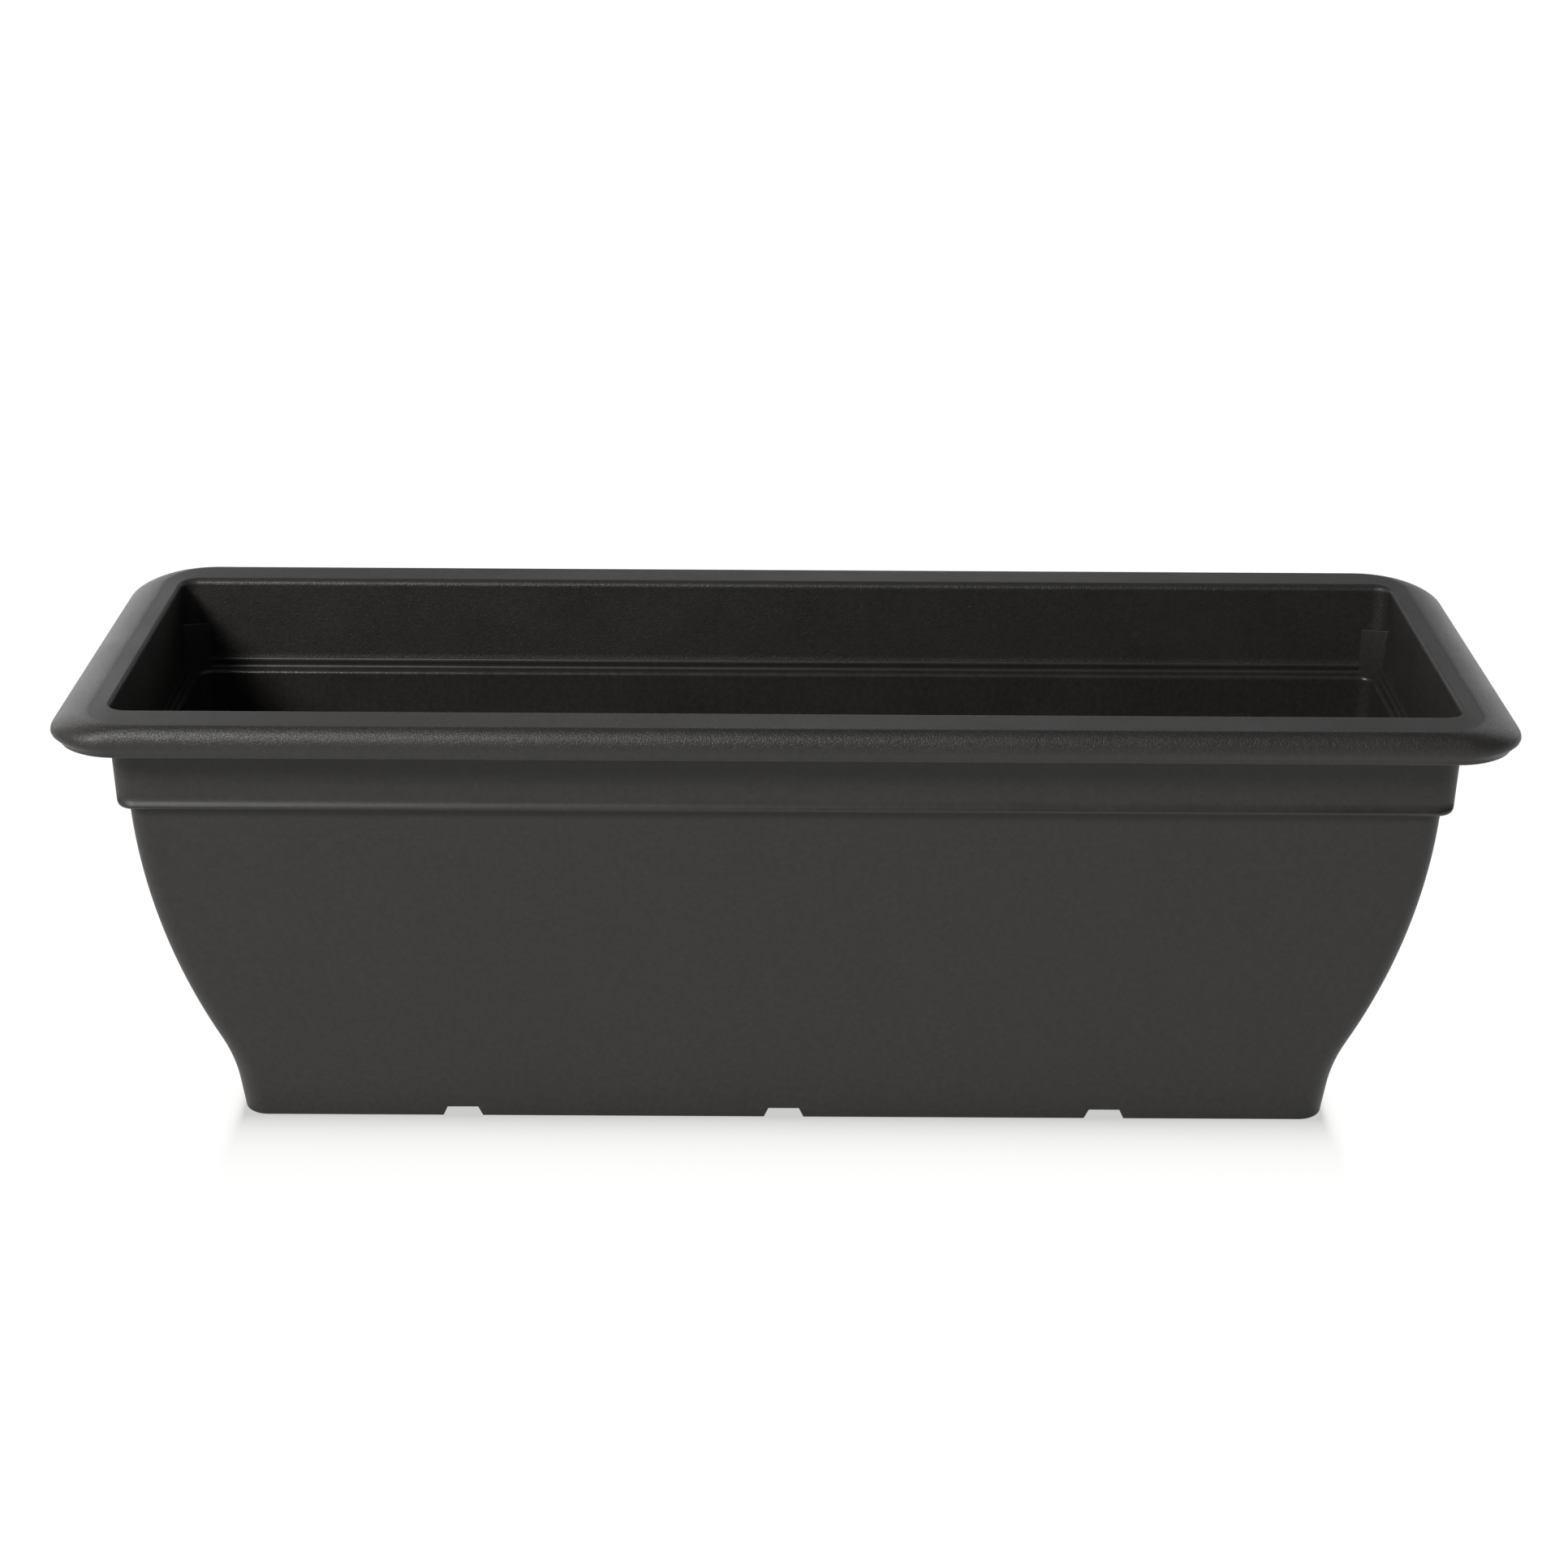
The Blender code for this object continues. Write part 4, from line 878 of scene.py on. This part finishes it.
def make_filler(fitting, plastic, white):
    """The filler pipe with a rolled mouth and two hinge ears, its pin, and the snap-on lid."""
    place = (-fitting.pipe_x, -fitting.pipe_y, 0.0)
    top = fitting.filler_top
    lip = fitting.filler + MOUTH_BEAD
    corners = flanged(fitting, fitting.filler, fitting.filler_foot) + [
        (fitting.filler, top - 0.0052),
        (lip, top - 0.0040),
        (lip, top),
        (fitting.filler_bore, top),
        (fitting.filler_bore, fitting.filler_foot),
    ]
    radii = (0.0005, 0.0002, 0.0006, 0.0006, 0.0010, 0.0008, 0.0008, 0.0010, 0.0010, 0.0005)
    shells = [turned(rounded_path(corners, radii), place, closed=True)]
    hinge = (place[0], place[1] + fitting.hinge_back, top + fitting.hinge_lift)
    for low, high in ((-EAR_FAR, -EAR_NEAR), (EAR_NEAR, EAR_FAR)):
        shells.append(eye(ear_outline, PIN_BORE, low, high, BLOCK_EDGE, hinge, 72))
    make_piece("filler_tube", shells, plastic, "filler", ["filler_pipe"], radians(35))

    corners = ((0, -EAR_FAR), (PIN_RADIUS, -EAR_FAR), (PIN_RADIUS, EAR_FAR), (0, EAR_FAR))
    pin = rounded_path(corners, 0.0005, False)
    shell = turned(pin, hinge, "X")
    make_piece("hinge_pin", [shell], white, "filler", ["filler_hinge_pin"])

    low = top + fitting.gap
    high = low + fitting.lid_thick
    lid = fitting.lid
    corners = (
        (0.0, low),
        (0.0098, low),
        (0.0098, low - 0.0026),
        (0.0114, low - 0.0026),
        (0.0114, low),
        (lid, low),
        (lid, high),
        (lid - 0.0024, high),
        (lid - 0.0030, high - 0.0005),
        (0.0, high - 0.0005),
    )
    radii = (0, 0.0004, 0.0005, 0.0005, 0.0003, 0.0004, 0.0008, 0.0004, 0.0004, 0)
    shells = [turned(rounded_path(corners, radii, closed=False), place)]
    x, y = place[:2]
    shells.append(eye(EYE_RADIUS, PIN_BORE, -KNUCKLE_HALF, KNUCKLE_HALF, 0.0003, hinge))
    strap_low = (x - 0.0030, y + 0.0130, low + 0.0001)
    shells.append(block(strap_low, (x + 0.0030, hinge[1] - 0.0017, high - 0.0001), 0.0006, 0.0005, "Y"))
    tab_low = (x - 0.0045, y - 0.0205, low + 0.0003)
    shells.append(block(tab_low, (x + 0.0045, y - 0.0114, high - 0.0003), 0.0022, 0.0007))
    make_piece("filler_cap", shells, plastic, "lid", ["filler_lid"], radians(35))


def make_gauge(fitting, plastic, clear, foam, white, red):
    """The gauge's pipe, its clear cap, and the float with its rod and flag."""
    place = (fitting.pipe_x, -fitting.pipe_y, 0.0)
    foot = fitting.pipe_foot
    bore = fitting.gauge_bore
    corners = flanged(fitting, fitting.gauge, foot) + [
        (fitting.gauge, fitting.gauge_top),
        (bore, fitting.gauge_top),
        (bore, foot + GAUGE_FOOT),
        (GAUGE_INLET, foot + GAUGE_FOOT),
        (GAUGE_INLET, foot),
    ]
    radii = (0.0005, 0.0002, 0.0006, 0.0006, 0.0010, 0.0006, 0.0006, 0.0004, 0.0004, 0.0004)
    pipe = turned(rounded_path(corners, radii), place, closed=True)
    make_piece("gauge_tube", [pipe], plastic, "gauge", ["gauge_pipe"])

    inner = fitting.gauge + fitting.gap
    outer = fitting.window
    top = fitting.window_top
    low = fitting.gauge_top - WINDOW_OVERLAP
    corners = (
        (0.0, top - WINDOW_SKIN),
        (inner, top - WINDOW_SKIN),
        (inner, low),
        (outer, low),
        (outer, top),
        (0.0, top),
    )
    cap = turned(rounded_path(corners, (0, 0.0023, 0.0004, 0.0004, 0.0033, 0), False, 9), place)
    make_piece("gauge_cap", [cap], clear, "gauge", ["gauge_window"])

    base = foot + FLOAT_CLEARANCE
    head = base + fitting.float_height
    socket = fitting.rod + fitting.gap
    corners = (
        (0.0, base),
        (fitting.float_radius, base),
        (fitting.float_radius, head),
        (socket, head),
        (socket, head - FLOAT_SOCKET),
        (0.0, head - FLOAT_SOCKET),
    )
    bobber = turned(rounded_path(corners, (0, 0.0014, 0.0014, 0.0003, 0.0003, 0), False), place)
    make_piece("float_body", [bobber], foam, "float", ["gauge_float"])
    foot = head - FLOAT_SOCKET + fitting.gap
    corners = ((0, foot), (fitting.rod, foot), (fitting.rod, fitting.rod_top), (0, fitting.rod_top))
    rod = turned(rounded_path(corners, 0.0004, False), place)
    make_piece("float_rod", [rod], white, "float", ["gauge_rod"])
    head = fitting.rod_top + FLAG_CAP
    corners = (
        (0.0, fitting.rod_top + fitting.gap),
        (socket, fitting.rod_top + fitting.gap),
        (socket, head - FLAG_HEIGHT),
        (fitting.flag, head - FLAG_HEIGHT),
        (fitting.flag, head),
        (0.0, head),
    )
    flag = turned(rounded_path(corners, (0, 0.0003, 0.0003, 0.0010, 0.0012, 0), False), place)
    make_piece("float_flag", [flag], red, "float", ["gauge_flag"])


def finish_platforms(fitting, material):
    """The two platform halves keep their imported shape, with joined edges rounded and the plastic on them."""
    for name in ("platform_left", "platform_right"):
        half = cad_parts[name]
        weld = half.modifiers.new("Weld", "WELD")
        weld.merge_threshold = 0.00001
        bevel = half.modifiers.new("Bevel", "BEVEL")
        bevel.width = fitting.platform_edge
        bevel.segments = 2
        bevel.limit_method = "ANGLE"
        bevel.angle_limit = radians(50)
        half.data.materials.clear()
        half.data.materials.append(material)


# ---- Material nodes ----------------------------------------------------------------------------


def new_material(name):
    """A material with a Principled shader, and its tree."""
    material = bpy.data.materials.new(name)
    material.use_nodes = True
    tree = material.node_tree
    return material, tree, tree.nodes["Principled BSDF"]


def node(tree, kind, inputs=(), **settings):
    """A shader node with its settings, and its inputs set to values or linked from sockets."""
    made = tree.nodes.new("ShaderNode" + kind)
    for key, value in settings.items():
        setattr(made, key, value)
    for key, value in dict(inputs).items():
        if isinstance(value, bpy.types.NodeSocket):
            tree.links.new(value, made.inputs[key])
        else:
            made.inputs[key].default_value = value
    return made


def math(tree, operation, a, b=0.0, c=0.0, clamp=False):
    return node(tree, "Math", {0: a, 1: b, 2: c}, operation=operation, use_clamp=clamp).outputs[0]


def spread(tree, value, low, high, to_low=0.0, to_high=1.0):
    """Maps low..high to to_low..to_high and holds the ends."""
    inputs = {"Value": value, "From Min": low, "From Max": high, "To Min": to_low, "To Max": to_high}
    return node(tree, "MapRange", inputs).outputs[0]


def noise(tree, vector, scale, detail=2.0, roughness=0.5, distortion=0.0):
    inputs = {"Vector": vector, "Scale": scale, "Detail": detail, "Roughness": roughness, "Distortion": distortion}
    return node(tree, "TexNoise", inputs).outputs[0]


def mapped(tree, vector, scale=(1, 1, 1), turn=(0, 0, 0)):
    """Object coordinates turned and stretched."""
    return node(tree, "Mapping", {"Vector": vector, "Scale": scale, "Rotation": turn}).outputs[0]


def object_coordinates(tree):
    return node(tree, "TexCoord").outputs["Object"]


def blend_colour(tree, share, a, b):
    return node(tree, "Mix", {0: share, 6: a, 7: b}, data_type="RGBA").outputs[2]


def bump(tree, height, distance, strength=1.0, under=None):
    inputs = {"Height": height, "Distance": distance, "Strength": strength}
    if under:
        inputs["Normal"] = under
    return node(tree, "Bump", inputs).outputs[0]


def trough_plastic(base):
    """Anthracite polypropylene: leather grain on the roll and the collar's inside, a sandblasted satin
    elsewhere, and polish with drawn streaks below the step."""
    material, tree, shader = new_material("anthracite_plastic")
    place = object_coordinates(tree)
    finish = node(tree, "Attribute", attribute_name="finish")
    split = node(tree, "SeparateColor", {0: finish.outputs["Color"]})
    grain, polish = split.outputs[0], split.outputs[1]
    leather = noise(tree, mapped(tree, place, (1.0, 1.0, 0.7), (0, radians(35), 0)), 1500, 3, 0.6, 0.7)
    sand = noise(tree, place, 1900, 2, 0.6)
    streaks = noise(tree, mapped(tree, place, (1.0, 1.0, 0.05)), 190, 3, 0.6)
    cloud = noise(tree, place, 26, 3, 0.6)
    mottle = noise(tree, place, 420, 3, 0.65)
    dull = math(tree, "SUBTRACT", 1.0, polish)

    tone = math(tree, "MULTIPLY_ADD", cloud, 0.22, 0.89)
    tone = math(tree, "MULTIPLY", tone, spread(tree, mottle, 0.3, 0.7, 0.86, 1.14))
    light = tuple(c * 1.38 for c in base)
    dark = tuple(c * 0.62 for c in base)
    colour_mix = blend_colour(tree, spread(tree, tone, 0.7, 1.25), (*dark, 1), (*light, 1))
    nick_cells = node(tree, "TexVoronoi", {"Vector": mapped(tree, place, (1.0, 1.0, 0.45), (0, 0.4, 0)), "Scale": 85})
    nick = spread(tree, nick_cells.outputs["Distance"], 0.10, 0.04)
    nick = math(tree, "MULTIPLY", nick, spread(tree, noise(tree, place, 14, 1), 0.62, 0.72))
    nick = math(tree, "MULTIPLY", nick, dull)
    worn = tuple(min(c * 3.2, 1.0) for c in base)
    colour_mix = blend_colour(tree, math(tree, "MULTIPLY", nick, 0.5), colour_mix, (*worn, 1))
    tree.links.new(colour_mix, shader.inputs["Base Color"])

    rough = math(tree, "MULTIPLY_ADD", polish, -0.30, 0.50)
    rough = math(tree, "MULTIPLY_ADD", grain, -0.10, rough)
    rough = math(tree, "MULTIPLY_ADD", math(tree, "SUBTRACT", cloud, 0.5), 0.16, rough)
    rough = math(tree, "MULTIPLY_ADD", math(tree, "MULTIPLY", streaks, polish), 0.16, rough, clamp=True)
    tree.links.new(rough, shader.inputs["Roughness"])

    fine = bump(tree, sand, 0.00006, 0.6)
    streak_depth = math(tree, "MULTIPLY", streaks, polish)
    drawn = bump(tree, streak_depth, 0.00035, 0.5, fine)
    deep = math(tree, "MULTIPLY", leather, grain)
    cut = bump(tree, deep, 0.00024, 1.0, drawn)
    tree.links.new(cut, shader.inputs["Normal"])
    shader.inputs["IOR"].default_value = 1.45
    shader.inputs["Specular IOR Level"].default_value = 0.40
    return material


def plain_plastic(name, base, roughness, grain_scale=900, depth=0.00004):
    """Moulded plastic with fine grain and a little unevenness in tone and gloss."""
    material, tree, shader = new_material(name)
    place = object_coordinates(tree)
    cloud = noise(tree, place, 60, 3, 0.6)
    sand = noise(tree, place, grain_scale, 3, 0.6)
    tone = blend_colour(tree, cloud, (*(c * 0.8 for c in base), 1), (*(min(c * 1.2, 1) for c in base), 1))
    tree.links.new(tone, shader.inputs["Base Color"])
    rough = math(tree, "MULTIPLY_ADD", math(tree, "SUBTRACT", cloud, 0.5), 0.2, roughness, clamp=True)
    tree.links.new(rough, shader.inputs["Roughness"])
    tree.links.new(bump(tree, sand, depth), shader.inputs["Normal"])
    return material


def clear_plastic(name, tint):
    """Clear moulded plastic: light passes through it, with a slight haze of fine scratches."""
    material, tree, shader = new_material(name)
    place = object_coordinates(tree)
    haze = noise(tree, mapped(tree, place, (1.0, 1.0, 0.15)), 420, 3, 0.6)
    tree.links.new(spread(tree, haze, 0.35, 0.75, 0.03, 0.16), shader.inputs["Roughness"])
    shade = blend_colour(tree, noise(tree, place, 80, 2), (*(c * 0.96 for c in tint), 1), (*tint, 1))
    tree.links.new(shade, shader.inputs["Base Color"])
    tree.links.new(bump(tree, haze, 0.00002, 0.4), shader.inputs["Normal"])
    shader.inputs["Transmission Weight"].default_value = 0.95
    shader.inputs["IOR"].default_value = 1.49
    return material


def foam_plastic(name, base):
    """Closed-cell foam: small rounded cells, a little darker between them."""
    material, tree, shader = new_material(name)
    place = object_coordinates(tree)
    cells = node(tree, "TexVoronoi", {"Vector": place, "Scale": 900}).outputs["Distance"]
    shade = blend_colour(tree, spread(tree, cells, 0.2, 0.7), (*base, 1), (*(c * 0.72 for c in base), 1))
    tree.links.new(shade, shader.inputs["Base Color"])
    rough = math(tree, "MULTIPLY_ADD", noise(tree, place, 70, 2), 0.2, 0.62)
    tree.links.new(rough, shader.inputs["Roughness"])
    tree.links.new(bump(tree, math(tree, "SUBTRACT", 1.0, cells), 0.0002, 0.7), shader.inputs["Normal"])
    return material


# ---- Stage -------------------------------------------------------------------------------------

CAMERA_TARGET = Vector((-0.0006, 0.0, 0.1341))
CAMERA_DISTANCE = 1.198
CAMERA_ELEVATION = radians(24.15)
CAMERA_YAW = radians(0.147)
CAMERA_ROLL = radians(0.374)
CAMERA_LENS = 61.9
SENSOR = 36.0
FLOOR_HALF = 30.0
FLOOR_LIGHT = 1.02
# Painted contact shadow on the floor: its darkest emission next to the foot, how far it reaches, and how much tighter
# it is at the ends
PAINTED_SHADOW_DARK = 0.60
PAINTED_SHADOW_REACH = 0.016
PAINTED_SHADOW_NARROW = 7.0


def floor_material(size):
    """White floor that is lit evenly, with a painted contact shadow round the trough's foot: the distance to the
    foot's rounded rectangle, worked out from object coordinates, brightens the painted shadow to full white."""
    material, tree, shader = new_material("floor_white")
    place = node(tree, "SeparateXYZ", {0: object_coordinates(tree)})
    gaps = []
    foot = (float(trough_end(size, 0.0)), float(trough_side(size, 0.0)))
    for axis, half, narrow in zip((0, 1), foot, (PAINTED_SHADOW_NARROW, 1.0)):
        reach = math(tree, "SUBTRACT", math(tree, "ABSOLUTE", place.outputs[axis]), half - size.base_corner / narrow)
        gaps.append(math(tree, "MULTIPLY", math(tree, "MAXIMUM", reach, 0.0), narrow))
    squares = math(tree, "ADD", math(tree, "POWER", gaps[0], 2.0), math(tree, "POWER", gaps[1], 2.0))
    distance = math(tree, "SUBTRACT", math(tree, "SQRT", squares), size.base_corner)
    # Painted shadow: the floor's emission falls from full white to its darkest value next to the foot
    near = math(tree, "EXPONENT", math(tree, "MULTIPLY", math(tree, "MAXIMUM", distance, 0.0), -1 / PAINTED_SHADOW_REACH))
    glow_with_painted_shadow = math(tree, "MULTIPLY_ADD", near, PAINTED_SHADOW_DARK - FLOOR_LIGHT, FLOOR_LIGHT)
    white = (1.0, 0.995, 0.99, 1.0)
    shader.inputs["Base Color"].default_value = (0.0, 0.0, 0.0, 1.0)
    shader.inputs["Specular IOR Level"].default_value = 0.0
    shader.inputs["Roughness"].default_value = 1.0
    shader.inputs["Emission Color"].default_value = white
    tree.links.new(glow_with_painted_shadow, shader.inputs["Emission Strength"])
    return material


def add_softbox(name, place, target, width, height, power):
    """A rectangular area light at place that faces target."""
    light = bpy.data.lights.new(name, "AREA")
    light.shape = "RECTANGLE"
    light.size = width
    light.size_y = height
    light.energy = power
    holder = bpy.data.objects.new(name, light)
    holder.location = place
    holder.rotation_euler = (Vector(target) - Vector(place)).to_track_quat("-Z", "Y").to_euler()
    bpy.context.scene.collection.objects.link(holder)


def add_camera():
    """The camera looks at the target from the front and above, with a slight roll."""
    forward = Vector(
        (
            sin(CAMERA_YAW) * cos(CAMERA_ELEVATION),
            cos(CAMERA_YAW) * cos(CAMERA_ELEVATION),
            -sin(CAMERA_ELEVATION),
        )
    )
    right = Vector((cos(CAMERA_YAW), -sin(CAMERA_YAW), 0.0))
    up = right.cross(forward)
    rolled_right = right * cos(CAMERA_ROLL) + up * sin(CAMERA_ROLL)
    rolled_up = up * cos(CAMERA_ROLL) - right * sin(CAMERA_ROLL)
    data = bpy.data.cameras.new("camera")
    data.lens = CAMERA_LENS
    data.sensor_width = SENSOR
    data.clip_start = 0.05
    camera = bpy.data.objects.new("camera", data)
    turn = Matrix((rolled_right, rolled_up, -forward)).transposed().to_4x4()
    camera.matrix_world = Matrix.Translation(CAMERA_TARGET - forward * CAMERA_DISTANCE) @ turn
    bpy.context.scene.collection.objects.link(camera)
    bpy.context.scene.camera = camera


# ---- Operators ---------------------------------------------------------------------------------


class PLANTER_OT_trough(Operator):
    """Build the trough's moulded shell with its rim, collar, step, foot and notches"""

    bl_idname = "planter.trough"
    bl_label = "Trough"

    def execute(self, context):
        sizes = context.scene.planter_sizes
        material = trough_plastic(context.scene.planter_colours.anthracite)
        make_trough(sizes, context.scene.planter_fittings, material)
        return {"FINISHED"}


def fitting_plastics(colours):
    """The plastics of the watering parts, made once and then found by name."""
    plain = {
        "insert_plastic": (colours.insert, 0.5, 1100, 0.00005),
        "cup_plastic": (colours.cup, 0.52, 1000, 0.00005),
        "fitting_plastic": (colours.fitting, 0.38, 700, 0.00002),
        "seal_rubber": (colours.rubber, 0.72, 1400, 0.00005),
        "rod_plastic": (colours.white, 0.36, 600, 0.00002),
        "flag_plastic": (colours.flag, 0.30, 600, 0.00002),
    }
    for name, settings in plain.items():
        if name not in bpy.data.materials:
            plain_plastic(name, *settings)
    if "clear_plastic" not in bpy.data.materials:
        clear_plastic("clear_plastic", colours.clear)
    if "float_foam" not in bpy.data.materials:
        foam_plastic("float_foam", colours.foam)
    return bpy.data.materials


class PLANTER_OT_overflow(Operator):
    """Build the overflow's stand pipe, its washer and its nut"""

    bl_idname = "planter.overflow"
    bl_label = "Overflow"

    def execute(self, context):
        scene = context.scene
        finish = fitting_plastics(scene.planter_colours)
        make_overflow(scene.planter_sizes, scene.planter_fittings, finish["fitting_plastic"], finish["seal_rubber"])
        return {"FINISHED"}


class PLANTER_OT_drain_bung(Operator):
    """Build the drain's rubber stopper"""

    bl_idname = "planter.drain_bung"
    bl_label = "Drain bung"

    def execute(self, context):
        finish = fitting_plastics(context.scene.planter_colours)
        make_bung(context.scene.planter_fittings, finish["seal_rubber"])
        return {"FINISHED"}


class PLANTER_OT_platforms(Operator):
    """Finish the two halves of the lift-out platform"""

    bl_idname = "planter.platforms"
    bl_label = "Platforms"

    def execute(self, context):
        finish = fitting_plastics(context.scene.planter_colours)
        finish_platforms(context.scene.planter_fittings, finish["insert_plastic"])
        return {"FINISHED"}


class PLANTER_OT_soil_cups(Operator):
    """Build the four slotted soil cups"""

    bl_idname = "planter.soil_cups"
    bl_label = "Soil cups"

    def execute(self, context):
        scene = context.scene
        finish = fitting_plastics(scene.planter_colours)
        make_cups(scene.planter_fittings, finish["cup_plastic"])
        return {"FINISHED"}


class PLANTER_OT_filler(Operator):
    """Build the filler pipe, its hinge pin and its lid"""

    bl_idname = "planter.filler"
    bl_label = "Filler"

    def execute(self, context):
        finish = fitting_plastics(context.scene.planter_colours)
        make_filler(context.scene.planter_fittings, finish["fitting_plastic"], finish["rod_plastic"])
        return {"FINISHED"}


class PLANTER_OT_gauge(Operator):
    """Build the water gauge with its clear cap, float, rod and flag"""

    bl_idname = "planter.gauge"
    bl_label = "Gauge"

    def execute(self, context):
        finish = fitting_plastics(context.scene.planter_colours)
        names = ("fitting_plastic", "clear_plastic", "float_foam", "rod_plastic", "flag_plastic")
        make_gauge(context.scene.planter_fittings, *(finish[name] for name in names))
        return {"FINISHED"}


class PLANTER_OT_stage(Operator):
    """Set up the floor, the soft lights and the camera"""

    bl_idname = "planter.stage"
    bl_label = "Stage"

    def execute(self, context):
        scene = context.scene
        mesh = bpy.data.meshes.new("floor")
        half = FLOOR_HALF
        mesh.from_pydata([(-half, -half, 0), (half, -half, 0), (half, half, 0), (-half, half, 0)], [], [(0, 1, 2, 3)])
        mesh.materials.append(floor_material(scene.planter_sizes))
        floor = bpy.data.objects.new("floor", mesh)
        scene.collection.objects.link(floor)
        world = bpy.data.worlds.new("studio")
        world.use_nodes = True
        background = world.node_tree.nodes["Background"]
        background.inputs["Color"].default_value = (1.0, 1.0, 1.0, 1.0)
        background.inputs["Strength"].default_value = 0.225
        scene.world = world
        add_softbox("left_softbox", (-1.55, 1.9, 0.75), (-0.2, 0, 0.15), 1.5, 1.3, 13.5)
        add_softbox("right_softbox", (1.75, 1.9, 0.75), (0.2, 0, 0.15), 1.4, 1.2, 10)
        add_softbox("back_softbox", (0.1, 2.3, 1.1), (0, 0, 0.15), 1.2, 0.6, 3)
        add_softbox("key_softbox", (-1.0, -1.1, 1.17), (-0.15, 0, 0.15), 0.5, 0.35, 41)
        add_camera()
        scene.view_settings.view_transform = "Standard"
        return {"FINISHED"}


class PLANTER_PT_sidebar(Panel):
    """Lists the planter's pieces, sizes and colours"""

    bl_idname = "PLANTER_PT_sidebar"
    bl_label = "Self watering planter"
    bl_space_type = "VIEW_3D"
    bl_region_type = "UI"
    bl_category = "Planter"

    def draw(self, context):
        layout = self.layout
        for operator in OPERATORS:
            layout.operator(operator.bl_idname)
        scene = context.scene
        for group in (scene.planter_sizes, scene.planter_fittings, scene.planter_colours):
            for key in group.__annotations__:
                layout.prop(group, key)


OPERATORS = (
    PLANTER_OT_trough,
    PLANTER_OT_overflow,
    PLANTER_OT_drain_bung,
    PLANTER_OT_platforms,
    PLANTER_OT_soil_cups,
    PLANTER_OT_filler,
    PLANTER_OT_gauge,
    PLANTER_OT_stage,
)
CLASSES = (PlanterSizes, FittingSizes, PlanterColours, *OPERATORS, PLANTER_PT_sidebar)


def register():
    for cls in CLASSES:
        bpy.utils.register_class(cls)
    bpy.types.Scene.planter_sizes = PointerProperty(type=PlanterSizes)
    bpy.types.Scene.planter_fittings = PointerProperty(type=FittingSizes)
    bpy.types.Scene.planter_colours = PointerProperty(type=PlanterColours)


def unregister():
    del bpy.types.Scene.planter_colours
    del bpy.types.Scene.planter_fittings
    del bpy.types.Scene.planter_sizes
    for cls in reversed(CLASSES):
        bpy.utils.unregister_class(cls)


def main():
    """Builds every piece in order."""
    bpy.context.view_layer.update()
    register()
    bpy.ops.planter.trough()
    bpy.ops.planter.overflow()
    bpy.ops.planter.drain_bung()
    bpy.ops.planter.platforms()
    bpy.ops.planter.soil_cups()
    bpy.ops.planter.filler()
    bpy.ops.planter.gauge()
    bpy.ops.planter.stage()


if __name__ == "__main__":
    main()
